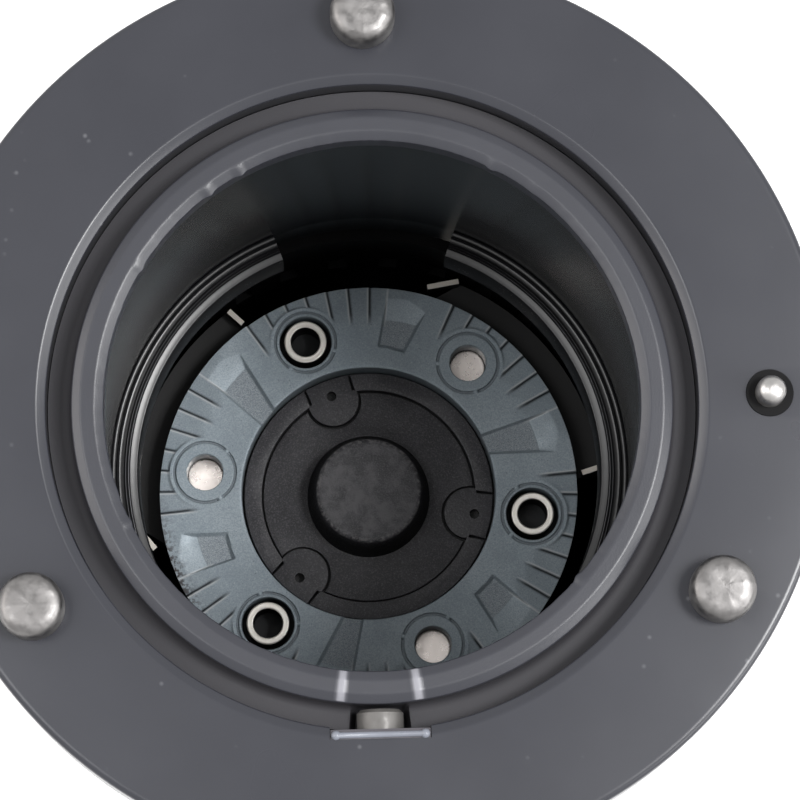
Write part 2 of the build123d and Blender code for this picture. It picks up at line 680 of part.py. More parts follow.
with BuildPart() as overload_protector:
    block(-11, 11, -50, -27, base_top + 0.05, base_top + 15)
    rods(5.2, base_top - 1, base_top + 12, reset_circle_r, (270,), mode=Mode.SUBTRACT)
    rods(1.5, base_top + 11, base_top + 16, reset_circle_r, (270,), mode=Mode.SUBTRACT)
overload_protector.part.label = "overload_protector"
export_step(overload_protector.part, "parts/overload_protector.step")

with BuildPart() as reset_button:
    rods(4.0, base_bottom - 3, base_top + 1, reset_circle_r, (270,))
    fillet(reset_button.edges().filter_by(GeomType.CIRCLE).group_by(Axis.Z)[0], radius=1.0)
    rods(4.9, base_top + 0.3, base_top + 2, reset_circle_r, (270,))
reset_button.part.label = "reset_button"
export_step(reset_button.part, "parts/reset_button.step")

with BuildPart() as reset_spring:
    coil(3.2, 0.4, 8.6, 5, (0, -38, base_top + 2.5), up)
reset_spring.part.label = "reset_spring"
export_step(reset_spring.part, "parts/reset_spring.step")

with BuildPart() as terminal_block:
    block(-46, -34, -12, 12, base_top + 0.05, base_top + 11)
    for screw_y in (-8, 0, 8):
        with BuildSketch(Plane.XY.offset(base_top + 6)) as pocket:
            with Locations((-40, screw_y)):
                Circle(2.6)
        extrude(pocket.sketch, amount=6, mode=Mode.SUBTRACT)
terminal_block.part.label = "terminal_block"
export_step(terminal_block.part, "parts/terminal_block.step")

with BuildPart() as terminal_screws:
    for screw_y in (-8, 0, 8):
        with BuildSketch(Plane.XY.offset(base_top + 6.05)) as screw_head:
            with Locations((-40, screw_y)):
                Circle(2.4)
                Rectangle(0.7, 6, mode=Mode.SUBTRACT)
        extrude(screw_head.sketch, amount=2.2)
        with BuildSketch(Plane.XY.offset(base_top + 6.05)) as screw_core:
            with Locations((-40, screw_y)):
                Circle(2.4)
        extrude(screw_core.sketch, amount=1.2)
terminal_screws.part.label = "terminal_screws"
export_step(terminal_screws.part, "parts/terminal_screws.step")

with BuildPart() as ground_screw:
    rods(1.25, base_bottom + 1.5, base_top, 40.0, (150,))
    rods(3.4, base_top, base_top + 2.2, 40.0, (150,))
ground_screw.part.label = "ground_screw"
export_step(ground_screw.part, "parts/ground_screw.step")

gland_bore_r = 4.2
gland_thread_end = 67.0

with BuildPart() as cable_gland:
    side_rod(6.0, 57, 68, gland_z, left)
    side_rod(8.8, 66.2, 71, gland_z, left)
    side_rod(7.4, 71, 79, gland_z, left)
    side_rod(gland_bore_r, 56, 80, gland_z, left, mode=Mode.SUBTRACT)
    side_rod(gland_bore_r + 0.4, 56, gland_thread_end, gland_z, left, mode=Mode.SUBTRACT)
cable_gland.part.label = "cable_gland"
export_step(cable_gland.part, "parts/cable_gland.step")

with BuildPart() as gland_nut:
    with BuildSketch(Plane(origin=(-57.8, 0, gland_z), z_dir=left)) as gland_nut_outline:
        RegularPolygon(8.5, 6)
        Circle(6.05, mode=Mode.SUBTRACT)
    extrude(amount=3)
gland_nut.part.label = "gland_nut"
export_step(gland_nut.part, "parts/gland_nut.step")
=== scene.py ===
import json
import math

import bmesh
import bpy
import numpy as np
from mathutils import Matrix, Vector


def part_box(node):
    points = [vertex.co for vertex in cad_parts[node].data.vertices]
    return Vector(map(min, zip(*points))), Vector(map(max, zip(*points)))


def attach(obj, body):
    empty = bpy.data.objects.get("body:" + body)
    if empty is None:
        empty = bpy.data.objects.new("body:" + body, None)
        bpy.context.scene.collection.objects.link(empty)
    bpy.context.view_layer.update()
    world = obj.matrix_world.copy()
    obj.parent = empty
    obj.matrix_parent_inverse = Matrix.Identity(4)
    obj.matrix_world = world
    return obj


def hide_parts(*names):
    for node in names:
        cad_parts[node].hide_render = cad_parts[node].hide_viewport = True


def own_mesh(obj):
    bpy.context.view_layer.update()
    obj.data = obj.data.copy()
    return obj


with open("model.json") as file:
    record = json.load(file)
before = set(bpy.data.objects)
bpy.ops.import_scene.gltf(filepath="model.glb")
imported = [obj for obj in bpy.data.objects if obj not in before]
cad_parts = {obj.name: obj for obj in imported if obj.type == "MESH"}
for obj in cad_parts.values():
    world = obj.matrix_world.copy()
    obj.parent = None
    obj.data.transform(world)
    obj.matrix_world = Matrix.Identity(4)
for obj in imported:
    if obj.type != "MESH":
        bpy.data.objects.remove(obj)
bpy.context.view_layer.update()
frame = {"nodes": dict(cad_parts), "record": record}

# Kitchen food-waste disposer seen into its throat. Sizes below are in millimetres and become
# metres when a mesh is made. The origin is the middle of the throat's mouth, +Z is up.

nodes = frame["nodes"]
MM = 0.001
rng = np.random.default_rng(7)


def top_of(node):
    """Height of a CAD node's top, in millimetres."""
    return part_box(node)[1].z / MM


def bottom_of(node):
    """Height of a CAD node's bottom, in millimetres."""
    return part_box(node)[0].z / MM


# ------------------------------------------------------------------ mesh helpers

def make_object(name, vertices, faces, sharp=35.0):
    """Mesh object from vertices in millimetres, smooth except at edges sharper than an angle."""
    mesh = bpy.data.meshes.new(name)
    mesh.from_pydata((np.asarray(vertices) * MM).tolist(), [], faces)
    mesh.validate()
    shell = bmesh.new()
    shell.from_mesh(mesh)
    bmesh.ops.recalc_face_normals(shell, faces=shell.faces)
    shell.to_mesh(mesh)
    shell.free()
    mesh.shade_smooth()
    mesh.set_sharp_from_angle(angle=math.radians(sharp))
    made = bpy.data.objects.new(name, mesh)
    bpy.context.scene.collection.objects.link(made)
    return made


def place(piece, body, slot, material, *replaced):
    """Gives a piece its body and material, and hides the CAD nodes it stands for; its slot is not used."""
    piece.data.materials.append(material)
    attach(piece, body)
    if replaced:
        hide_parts(*replaced)
    return piece


def grid_faces(rows, columns, wrap_rows, wrap_columns):
    """Quads of a grid of vertices that may close on itself either way."""
    faces = []
    for i in range(rows if wrap_rows else rows - 1):
        j_next = (i + 1) % rows
        for j in range(columns if wrap_columns else columns - 1):
            k = (j + 1) % columns
            faces.append((i * columns + j, i * columns + k, j_next * columns + k, j_next * columns + j))
    return faces


# A solid turned piece starts this far off its axis. So does a round cutter, which leaves a needle
# of this radius in the middle of its hole.
AXIS_R = 0.01


def lathe_data(outline, segments=256, centre=(0.0, 0.0), span=(0.0, 360.0)):
    """Vertices and faces of a closed (radius, height) outline turned about an upright line."""
    full = span[1] - span[0] >= 360.0
    angles = np.radians(np.linspace(span[0], span[1], segments, endpoint=not full))
    radius = np.array([p[0] for p in outline])[:, None]
    height = np.array([p[1] for p in outline])[:, None]
    x = centre[0] + radius * np.cos(angles)
    y = centre[1] + radius * np.sin(angles)
    z = height + 0 * angles
    vertices = np.stack([x, y, z], axis=-1).reshape(-1, 3)
    faces = grid_faces(len(outline), len(angles), True, full)
    if not full:
        last = len(angles) - 1
        faces.append([i * len(angles) for i in range(len(outline))][::-1])
        faces.append([i * len(angles) + last for i in range(len(outline))])
    return vertices, faces


def joined(*parts):
    """One set of vertices and faces from several."""
    vertices, faces, start = [], [], 0
    for points, polygons in parts:
        vertices.append(np.asarray(points))
        faces.extend([[start + i for i in face] for face in polygons])
        start += len(points)
    return np.concatenate(vertices), faces


def slab_data(outline, low, high, bevel=0.2, steps=3):
    """A flat outline raised between two heights, with its upper edge rounded inwards."""
    points = np.array(outline)
    count = len(points)
    ahead = np.roll(points, -1, axis=0) - points
    behind = points - np.roll(points, 1, axis=0)
    normal = np.stack([ahead[:, 1] + behind[:, 1], -(ahead[:, 0] + behind[:, 0])], axis=1)
    normal /= np.linalg.norm(normal, axis=1)[:, None]
    rings = [(0.0, low), (0.0, high - bevel)]
    for step in range(1, steps + 1):
        turn = math.pi / 2 * step / steps
        rings.append((bevel * (1 - math.cos(turn)), high - bevel * (1 - math.sin(turn))))
    vertices = []
    for inset, z in rings:
        ring = points - normal * inset
        vertices.extend((x, y, z) for x, y in ring)
    faces = grid_faces(len(rings), count, False, True)
    faces.append(list(range(count))[::-1])
    faces.append([(len(rings) - 1) * count + i for i in range(count)])
    return np.array(vertices), faces


def arc(radius, start, end, steps, centre=(0.0, 0.0)):
    """Points along an arc, angles in degrees."""
    turns = np.radians(np.linspace(start, end, steps))
    return [(centre[0] + radius * math.cos(t), centre[1] + radius * math.sin(t)) for t in turns]


def polar(radius, degrees):
    """Point on the XY plane from its radius and angle."""
    return radius * math.cos(math.radians(degrees)), radius * math.sin(math.radians(degrees))


# ------------------------------------------------------------------ materials

def linear(*srgb):
    """Linear colour from screen values of 0 to 255."""
    channels = [c / 255 for c in srgb]
    return [c / 12.92 if c <= 0.04045 else ((c + 0.055) / 1.055) ** 2.4 for c in channels] + [1.0]


class Shader:
    """Small builder for one node material."""

    def __init__(self, name):
        self.material = bpy.data.materials.new(name)
        self.material.use_nodes = True
        self.tree = self.material.node_tree
        self.bsdf = self.tree.nodes["Principled BSDF"]
        self.place = self.tree.nodes.new("ShaderNodeTexCoord").outputs["Object"]

    def link(self, source, target):
        self.tree.links.new(source, target)

    def set(self, **values):
        for key, value in values.items():
            self.bsdf.inputs[key.replace("_", " ")].default_value = value

    def noise(self, size_mm, detail=3.0, stretch=None, roughness=0.5):
        """Noise whose lumps are about size_mm across, 0 to 1."""
        node = self.tree.nodes.new("ShaderNodeTexNoise")
        node.inputs["Scale"].default_value = 1 / (size_mm * MM)
        node.inputs["Detail"].default_value = detail
        node.inputs["Roughness"].default_value = roughness
        source = self.place
        if stretch:
            mapping = self.tree.nodes.new("ShaderNodeMapping")
            mapping.inputs["Scale"].default_value = stretch
            self.link(source, mapping.inputs["Vector"])
            source = mapping.outputs["Vector"]
        self.link(source, node.inputs["Vector"])
        return node.outputs["Fac"]

    def specks(self, size_mm, share):
        """Scattered round specks: 1 inside a speck, 0 outside."""
        node = self.tree.nodes.new("ShaderNodeTexVoronoi")
        node.inputs["Scale"].default_value = 1 / (size_mm * MM)
        self.link(self.place, node.inputs["Vector"])
        return self.ramp(node.outputs["Distance"], share, share * 0.2)

    def ramp(self, value, low, high, low_out=0.0, high_out=1.0):
        """Maps a value between two limits and clamps it."""
        node = self.tree.nodes.new("ShaderNodeMapRange")
        node.inputs["From Min"].default_value = low
        node.inputs["From Max"].default_value = high
        node.inputs["To Min"].default_value = low_out
        node.inputs["To Max"].default_value = high_out
        self.link(value, node.inputs["Value"])
        return node.outputs["Result"]

    def math(self, operation, a, b):
        """Arithmetic on two values, either of which may be a number."""
        node = self.tree.nodes.new("ShaderNodeMath")
        node.operation = operation
        for socket, value in zip(node.inputs, (a, b)):
            if hasattr(value, "links"):
                self.link(value, socket)
            else:
                socket.default_value = value
        return node.outputs["Value"]

    def mix(self, amount, a, b):
        """Colour a where amount is 0 and b where it is 1."""
        node = self.tree.nodes.new("ShaderNodeMix")
        node.data_type = "RGBA"
        self.link(amount, node.inputs["Factor"])
        for socket, value in ((node.inputs["A"], a), (node.inputs["B"], b)):
            if hasattr(value, "links"):
                self.link(value, socket)
            else:
                socket.default_value = value
        return node.outputs["Result"]

    def height(self, low_mm, high_mm):
        """0 below one height and 1 above another."""
        split = self.tree.nodes.new("ShaderNodeSeparateXYZ")
        self.link(self.place, split.inputs["Vector"])
        return self.ramp(split.outputs["Z"], low_mm * MM, high_mm * MM)

    def reach(self, low_mm, high_mm):
        """0 inside one distance from the machine's axis and 1 outside another."""
        flat = self.tree.nodes.new("ShaderNodeVectorMath")
        flat.operation = "MULTIPLY"
        flat.inputs[1].default_value = (1.0, 1.0, 0.0)
        self.link(self.place, flat.inputs[0])
        length = self.tree.nodes.new("ShaderNodeVectorMath")
        length.operation = "LENGTH"
        self.link(flat.outputs["Vector"], length.inputs[0])
        return self.ramp(length.outputs["Value"], low_mm * MM, high_mm * MM)

    def facing_up(self, low=0.5, high=0.9):
        """1 on faces that look up and 0 on upright ones."""
        geometry = self.tree.nodes.new("ShaderNodeNewGeometry")
        split = self.tree.nodes.new("ShaderNodeSeparateXYZ")
        self.link(geometry.outputs["True Normal"], split.inputs["Vector"])
        return self.ramp(split.outputs["Z"], low, high)

    def attribute(self, name):
        """A value stored on the mesh's vertices."""
        node = self.tree.nodes.new("ShaderNodeAttribute")
        node.attribute_name = name
        return node.outputs["Fac"]

    def color(self, value):
        self.link(value, self.bsdf.inputs["Base Color"])

    def roughness(self, value):
        self.link(value, self.bsdf.inputs["Roughness"])

    def bump(self, value, depth_mm, strength=1.0):
        """Adds surface relief of a given depth."""
        node = self.tree.nodes.new("ShaderNodeBump")
        node.inputs["Distance"].default_value = depth_mm * MM
        node.inputs["Strength"].default_value = strength
        self.link(value, node.inputs["Height"])
        self.link(node.outputs["Normal"], self.bsdf.inputs["Normal"])


def moulded(name, srgb, roughness, grain_mm=0.25, depth_mm=0.015, spread=0.12, dust=0.0, specular=0.5):
    """Moulded plastic with fine grain, slight colour drift and a little dust."""
    shader = Shader(name)
    shader.set(Specular_IOR_Level=specular)
    base = np.array(linear(*srgb))
    darker = list(base[:3] * (1 - spread)) + [1.0]
    lighter = list(base[:3] * (1 + spread)) + [1.0]
    drift = shader.ramp(shader.noise(18.0, 4.0), 0.3, 0.7)
    tone = shader.mix(drift, darker, lighter)
    if dust:
        dusty = shader.specks(2.6, 0.13)
        speck = shader.math("MULTIPLY", dusty, shader.ramp(shader.noise(5.0, 1.0), 0.56, 0.62))
        tone = shader.mix(shader.math("MULTIPLY", speck, dust), tone, linear(190, 190, 190))
    shader.color(tone)
    shader.roughness(shader.ramp(shader.noise(6.0, 4.0), 0.3, 0.7, roughness - 0.05, roughness + 0.07))
    shader.bump(shader.noise(grain_mm, 2.0), depth_mm)
    return shader.material


def deck_plastic():
    """Satin grey plate with painted shade on the wall round its opening."""
    shader = Shader("deck_plastic")
    drift = shader.ramp(shader.noise(18.0, 4.0), 0.3, 0.7)
    tone = shader.mix(drift, linear(40, 41, 47), linear(44, 45, 51))
    # Painted shade: the upright wall round the opening is painted darker where little light reaches it.
    wall = shader.math("MULTIPLY", shader.height(-1.0, -2.0), shader.reach(56.0, 55.5))
    tone = shader.mix(wall, tone, linear(26, 27, 30))
    speck = shader.math("MULTIPLY", shader.specks(3.2, 0.16), shader.ramp(shader.noise(7.0, 1.0), 0.6, 0.68))
    shader.color(shader.mix(shader.math("MULTIPLY", speck, 0.2), tone, linear(150, 151, 155)))
    shader.roughness(shader.ramp(shader.noise(30.0, 2.0), 0.3, 0.7, 0.27, 0.31))
    shader.bump(shader.noise(0.6, 2.0), 0.003)
    return shader.material


def ledge_plastic():
    """Gloss-black ledge with a painted sheen on its ridges and a dull, dusty inner face."""
    shader = Shader("ledge_plastic")
    face = shader.attribute("face")
    tone = shader.mix(shader.noise(2.0, 3.0), linear(13, 13, 15), linear(20, 20, 23))
    # Painted sheen: the ridges are painted pale where they would catch the light at the left and right.
    tone = shader.mix(shader.attribute("ridge_sheen"), tone, linear(186, 186, 190))
    dusty = shader.math("MULTIPLY", shader.specks(0.8, 0.2), shader.ramp(shader.noise(2.5, 2.0), 0.5, 0.62))
    tone = shader.mix(shader.math("MULTIPLY", dusty, face), tone, linear(170, 168, 165))
    shader.color(tone)
    shader.roughness(shader.ramp(face, 0.0, 1.0, 0.3, 0.6))
    shader.bump(shader.noise(1.5, 2.0), 0.01)
    return shader.material


def satin_ring():
    """Turned steel bushing, pale on its top face and painted black down its bore as shade."""
    shader = Shader("satin_ring")
    top = shader.facing_up(0.15, 0.5)
    tone = shader.mix(shader.noise(0.6, 3.0), linear(232, 226, 216), linear(250, 247, 240))
    # Painted shade: faces that do not look up are painted near-black.
    shader.color(shader.mix(top, linear(14, 14, 15), tone))
    shader.roughness(shader.ramp(top, 0.0, 1.0, 0.6, 0.34))
    shader.set(Metallic=0.55)
    shader.bump(shader.noise(0.5, 3.0), 0.01)
    return shader.material


def ribs_painted_highlight():
    """Grey vane carrier whose rib tops carry a painted highlight."""
    shader = Shader("ribs_painted_highlight")
    rib_top = top_of("vane_carrier")
    # Painted highlight on the upward faces of the rib tops.
    rib = shader.math("MULTIPLY", shader.height(rib_top - 0.6, rib_top - 0.3), shader.facing_up(0.4, 0.8))
    tone = shader.mix(shader.noise(1.5, 4.0), linear(9, 9, 10), linear(16, 16, 17))
    shader.color(shader.mix(rib, tone, linear(226, 220, 210)))
    shader.roughness(shader.ramp(rib, 0.0, 1.0, 0.5, 0.3))
    shader.set(Metallic=0.2)
    shader.bump(shader.noise(0.5, 3.0), 0.02)
    return shader.material


def metal(name, srgb, roughness, metallic=1.0, scratch=None, grain_mm=0.4, depth_mm=0.01, blotch=0.2):
    """Metal with cloudy colour, uneven polish and optional brushing along one axis."""
    shader = Shader(name)
    shader.set(Metallic=metallic)
    base = np.array(linear(*srgb))
    darker = list(base[:3] * (1 - blotch)) + [1.0]
    clouds = shader.ramp(shader.noise(3.0, 5.0), 0.35, 0.65)
    shader.color(shader.mix(clouds, darker, list(base)))
    shader.roughness(shader.ramp(shader.noise(1.5, 4.0), 0.3, 0.7, roughness * 0.75, roughness * 1.3))
    shader.bump(shader.noise(grain_mm, 3.0, stretch=scratch), depth_mm)
    return shader.material


def disc_iron():
    """Ground cast plate: blue-grey, pitted, rough inside the pockets and with wear at one stretch of rim,
    plus painted highlights and painted shade at its teeth and holes.
    """
    shader = Shader("disc_iron")
    shader.set(Metallic=0.1, Specular_IOR_Level=0.25)
    drift = shader.ramp(shader.noise(9.0, 5.0), 0.3, 0.7)
    tone = shader.mix(drift, linear(146, 158, 166), linear(166, 177, 184))
    fine = shader.ramp(shader.noise(0.26, 3.0), 0.4, 0.62)
    tone = shader.mix(shader.math("MULTIPLY", fine, 0.45), tone, linear(118, 129, 138))
    glint = shader.ramp(shader.noise(0.3, 2.0), 0.62, 0.72)
    tone = shader.mix(shader.math("MULTIPLY", glint, 0.4), tone, linear(196, 202, 206))
    pits = shader.math("MULTIPLY", shader.specks(0.8, 0.2), shader.ramp(shader.noise(1.2, 1.0), 0.48, 0.58))
    tone = shader.mix(shader.math("MULTIPLY", pits, 0.6), tone, linear(62, 68, 74))
    # The rough pocket floors get a lighter, speckled tone: painted sparkle for light caught by the cast
    # surface.
    rough = shader.attribute("rough")
    sparkle = shader.ramp(shader.noise(0.17, 4.0, roughness=0.75), 0.36, 0.66)
    tone = shader.mix(rough, tone, shader.mix(sparkle, linear(112, 121, 128), linear(182, 190, 196)))
    wear_and_sheen = shader.math("MULTIPLY", shader.attribute("wear_and_sheen"), shader.ramp(shader.noise(0.8, 4.0), 0.47, 0.56))
    tone = shader.mix(wear_and_sheen, tone, linear(66, 60, 60))
    # Painted highlight on the tooth edges; painted shade at the tooth feet, round the bosses and under them.
    tone = shader.mix(shader.attribute("edge"), tone, linear(205, 208, 210))
    tone = shader.mix(shader.attribute("painted_shade"), tone, linear(24, 26, 28))
    shader.color(tone)
    polish = shader.ramp(shader.noise(2.0, 4.0), 0.3, 0.7, 0.36, 0.5)
    shader.roughness(shader.mix(rough, polish, [0.62, 0.62, 0.62, 1]))
    grit = shader.noise(0.35, 4.0)
    relief = shader.math("MULTIPLY", grit, shader.math("ADD", shader.math("MULTIPLY", rough, 3.0), 0.8))
    shader.bump(relief, 0.035)
    return shader.material


def throat_plastic():
    """Grey lip above a gloss-black wall, with a painted sheen on the two small ribs by the latch."""
    shader = Shader("throat_plastic")
    lip = shader.height(-7.5, -4.5)
    drift = shader.ramp(shader.noise(14.0, 4.0), 0.3, 0.7)
    grey = shader.mix(drift, linear(42, 43, 49), linear(46, 47, 53))
    # Painted sheen: the two small ribs by the latch are painted a light grey.
    grey = shader.mix(shader.attribute("wear_and_sheen"), grey, linear(128, 128, 134))
    seat = shader.attribute("seat")
    tone = shader.mix(lip, linear(11, 12, 14), grey)
    shader.color(shader.mix(seat, tone, linear(50, 49, 53)))
    dull = shader.math("MAXIMUM", shader.math("MULTIPLY", lip, 0.3), seat)
    shader.roughness(shader.ramp(dull, 0.0, 1.0, 0.2, 0.7))
    shader.bump(shader.math("MULTIPLY", shader.noise(0.3, 3.0), shader.ramp(lip, 0.0, 1.0, 0.1, 1.0)), 0.02)
    return shader.material


def hub_plastic(name="hub_plastic", worn_above=None):
    """Charcoal plastic with a pale fleck; where asked for, a scuffed top above near-black sides, partly the
    knob's own dark plastic and partly painted shade.
    """
    shader = Shader(name)
    shader.set(Specular_IOR_Level=0.5)
    drift = shader.ramp(shader.noise(7.0, 4.0), 0.3, 0.7)
    tone = shader.mix(drift, linear(46, 45, 49), linear(62, 61, 65))
    fleck = shader.ramp(shader.noise(0.3, 5.0, roughness=0.75), 0.5, 0.66)
    tone = shader.mix(shader.math("MULTIPLY", fleck, 0.5), tone, linear(122, 121, 124))
    if worn_above is not None:
        top_share = shader.height(worn_above - 0.4, worn_above)
        rubs = shader.ramp(shader.noise(3.5, 9.0, roughness=0.7), 0.44, 0.6)
        scuff = shader.math("MULTIPLY", top_share, rubs)
        # The knob's sides are painted near-black: its own dark plastic, deepened with painted shade on the
        # sides away from the light.
        tone = shader.mix(shader.height(worn_above - 3.0, worn_above - 0.6), linear(17, 17, 18), tone)
        tone = shader.mix(scuff, tone, linear(88, 87, 90))
        rim = shader.math("MULTIPLY", shader.reach(9.2, 9.8), shader.reach(10.3, 10.0))
        chips = shader.math("MULTIPLY", rim, shader.ramp(shader.noise(0.7, 4.0), 0.46, 0.6))
        tone = shader.mix(shader.math("MULTIPLY", chips, 0.7), tone, linear(140, 138, 138))
    shader.color(tone)
    shader.roughness(shader.ramp(shader.noise(0.5, 3.0), 0.3, 0.7, 0.42, 0.62))
    shader.bump(shader.noise(0.34, 4.0), 0.06)
    return shader.material


FINISHES = {
    "deck_plastic": deck_plastic(),
    "throat_plastic": throat_plastic(),
    "gloss_black": moulded("gloss_black", (19, 19, 21), 0.16, grain_mm=3.0, depth_mm=0.01, dust=0.25),
    "cast_steel": metal("cast_steel", (134, 132, 131), 0.44, grain_mm=1.2, depth_mm=0.05, blotch=0.3),
    "zinc_steel": metal("zinc_steel", (196, 196, 192), 0.32),
    "polished_steel": metal("polished_steel", (205, 203, 199), 0.2, grain_mm=0.8, blotch=0.12),
    "pale_steel": metal(
        "pale_steel", (218, 209, 203), 0.3, metallic=0.85, blotch=0.05, grain_mm=0.25, depth_mm=0.004
    ),
    "rubber_black": moulded("rubber_black", (27, 27, 28), 0.62, grain_mm=0.5, depth_mm=0.03),
    "black_plastic": moulded("black_plastic", (33, 33, 36), 0.42, grain_mm=0.35, depth_mm=0.03),
    "hub_plastic": hub_plastic(),
    "disc_iron": disc_iron(),
    "lamination_steel": metal(
        "lamination_steel", (120, 121, 124), 0.45, scratch=(0.05, 0.05, 4.0), grain_mm=0.5, depth_mm=0.08
    ),
    "cast_aluminium": metal("cast_aluminium", (178, 180, 182), 0.48, grain_mm=0.7, depth_mm=0.05),
    "bronze": metal("bronze", (168, 128, 82), 0.35),
    "copper_winding": metal(
        "copper_winding", (176, 92, 48), 0.3, scratch=(1.0, 1.0, 6.0), grain_mm=1.2, depth_mm=0.3
    ),
    "shell_plastic": moulded(
        "shell_plastic", (72, 74, 82), 0.42, grain_mm=0.45, depth_mm=0.03, spread=0.04, dust=0.2
    ),
    "foam": moulded("foam", (70, 70, 74), 0.95, grain_mm=1.2, depth_mm=0.4, specular=0.1),
    "brushed_trim": metal(
        "brushed_trim", (186, 187, 190), 0.3, scratch=(0.02, 0.02, 2.0), grain_mm=0.3, depth_mm=0.02,
        blotch=0.05,
    ),
    "red_plastic": moulded("red_plastic", (168, 24, 20), 0.28, grain_mm=1.5, depth_mm=0.01),
    "green_paint": moulded("green_paint", (34, 122, 62), 0.3, grain_mm=1.0, depth_mm=0.02),
}

for entry in frame["record"]["subparts"]:
    mesh = nodes[entry["node"]].data
    mesh.materials.clear()
    mesh.materials.append(FINISHES[entry["material_slot"]])

SPECIAL_FINISHES = {
    "vane_carrier": ribs_painted_highlight(),
    # Painted shade: the chamber's ring and wall are painted near-black for the dark under the disc.
    "shredder_ring": moulded("chamber_steel_painted_shade", (9, 9, 10), 0.6, specular=0.08),
    "grind_housing": moulded("chamber_wall_painted_shade", (8, 8, 9), 0.6, specular=0.08),
    "interlock_pin": metal(
        "pin_button_steel", (186, 184, 182), 0.36, grain_mm=0.8, depth_mm=0.01, blotch=0.1
    ),
    "interlock_collar": moulded("collar_plastic", (13, 13, 14), 0.5, specular=0.1),
    # Painted light: the latch block is painted a lighter grey to lift the shade in its deep pocket.
    "latch_block": moulded("latch_plastic_painted_light", (84, 82, 87), 0.6),
    "latch_plunger": metal("worn_steel", (98, 96, 94), 0.5, metallic=0.3, grain_mm=0.8, depth_mm=0.03),
    "latch_cap": metal("dull_steel", (92, 92, 94), 0.5, metallic=0.5, grain_mm=0.8, depth_mm=0.03),
}
for name, finish in SPECIAL_FINISHES.items():
    nodes[name].data.materials.clear()
    nodes[name].data.materials.append(finish)

# ------------------------------------------------------------------ throat and ledge

LIP_R = 50.4
THROAT_R = 45.0
GROOVE_R = 54.7
GROOVE_DEPTH = 9.0
SEAT_Z = -6.0
BEVEL_ACROSS = 1.6
BEVEL_DROP = 1.0


def bevel(radius, outward, top=0.0):
    """Bevelled upper edge of a round wall, from the wall up to the flat, softened at both ends."""
    steps = (
        (0.0, -0.3), (0.0, 0.0), (0.04, 0.13), (0.16, 0.26),
        (0.84, 0.9), (0.95, 0.97), (1.08, 1.0), (1.2, 1.0),
    )
    return [(radius + outward * BEVEL_ACROSS * along, top - BEVEL_DROP * (1.0 - up)) for along, up in steps]


throat_outline = (
    [(THROAT_R, -5.0)]
    + bevel(THROAT_R, 1)
    + bevel(LIP_R, -1)[::-1]
    + [(LIP_R, SEAT_Z + 1.8), (LIP_R + 0.2, SEAT_Z + 0.8), (LIP_R + 0.8, SEAT_Z + 0.15)]
    + [(LIP_R + 1.6, SEAT_Z), (GROOVE_R - 0.1, SEAT_Z), (GROOVE_R - 0.1, -GROOVE_DEPTH)]
    + [(61.0, -GROOVE_DEPTH), (61.0, -12.0), (51.4, -12.0), (51.4, -89.0), (61.5, -89.0), (61.5, -94.0)]
    + [(48.3, -94.0), (48.3, -84.0), (48.3, -83.2), (48.15, -80.0), (46.6, -9.0)]
    + [(46.35, -7.0), (45.9, -5.6), (45.3, -5.05)]
)
TURNS = 720
EDGE_ROWS = range(2, 6)
LIP_ROWS = range(4, 14)
SEAT_ROWS = range(17, 23)
throat_vertices, throat_faces = lathe_data(throat_outline, segments=TURNS)
turns = np.linspace(0.0, 360.0, TURNS, endpoint=False)
ragged = np.interp(turns, np.linspace(0.0, 360.0, 181), rng.normal(0.0, 0.05, 181), period=360.0)
for nick in (62.0, 118.0, 126.0, 148.0, 205.0, 318.0):
    away = (turns - nick + 180.0) % 360.0 - 180.0
    ragged -= 0.4 * np.exp(-(away / 1.1) ** 2)
grid = throat_vertices.reshape(len(throat_outline), TURNS, 3)
for row in EDGE_ROWS:
    radius = np.hypot(grid[row, :, 0], grid[row, :, 1])
    grid[row, :, :2] *= (1.0 + np.abs(ragged) * -0.9 / radius)[:, None]
RIB_TURN = 7.5
LATCH_TURN = 5.2
front_away = np.abs(turns - 270.0)
rib = np.exp(-((front_away - RIB_TURN) / 0.85) ** 4)
for row in LIP_ROWS:
    grid[row, :, 2] += 0.16 * rib
latch_room = np.clip((LATCH_TURN - front_away) / 0.5, 0, 1)
for row in SEAT_ROWS[:-1]:
    grid[row, :, 2] -= (GROOVE_DEPTH + SEAT_Z) * latch_room
throat = make_object("throat", grid.reshape(-1, 3), throat_faces, sharp=50.0)


def store(piece, name, values):
    """Keeps one value per vertex on a mesh, with zeros for the vertices that follow."""
    full = np.zeros(len(piece.data.vertices))
    full[: values.size] = values.reshape(-1)
    piece.data.attributes.new(name, "FLOAT", "POINT").data.foreach_set("value", full)


# Painted sheen on the lip's two small ribs.
rib_sheen = np.zeros(grid.shape[:2])
rib_sheen[LIP_ROWS] = rib
seat_share = np.zeros(grid.shape[:2])
seat_share[SEAT_ROWS] = 1.0
store(throat, "wear_and_sheen", rib_sheen)
store(throat, "seat", seat_share)
place(throat, "machine", "throat_plastic", FINISHES["throat_plastic"], "throat_tube")

# ------------------------------------------------------------------ mounting plate

PLATE_R = 77.0
PLATE_SKIRT = 16.0
PLATE_T = 9.0


def hole_outline(radius, low, high):
    """Half outline of a round cutter between two heights."""
    return [(AXIS_R, low), (radius, low), (radius, high), (AXIS_R, high)]


def cut(piece, cutter):
    """Cuts one mesh away from another and deletes the cutter."""
    modifier = piece.modifiers.new("cut", "BOOLEAN")
    modifier.object = cutter
    modifier.operation = "DIFFERENCE"
    modifier.solver = "EXACT"
    graph = bpy.context.evaluated_depsgraph_get()
    result = bpy.data.meshes.new_from_object(piece.evaluated_get(graph))
    piece.modifiers.clear()
    piece.data = result
    bpy.data.objects.remove(cutter)


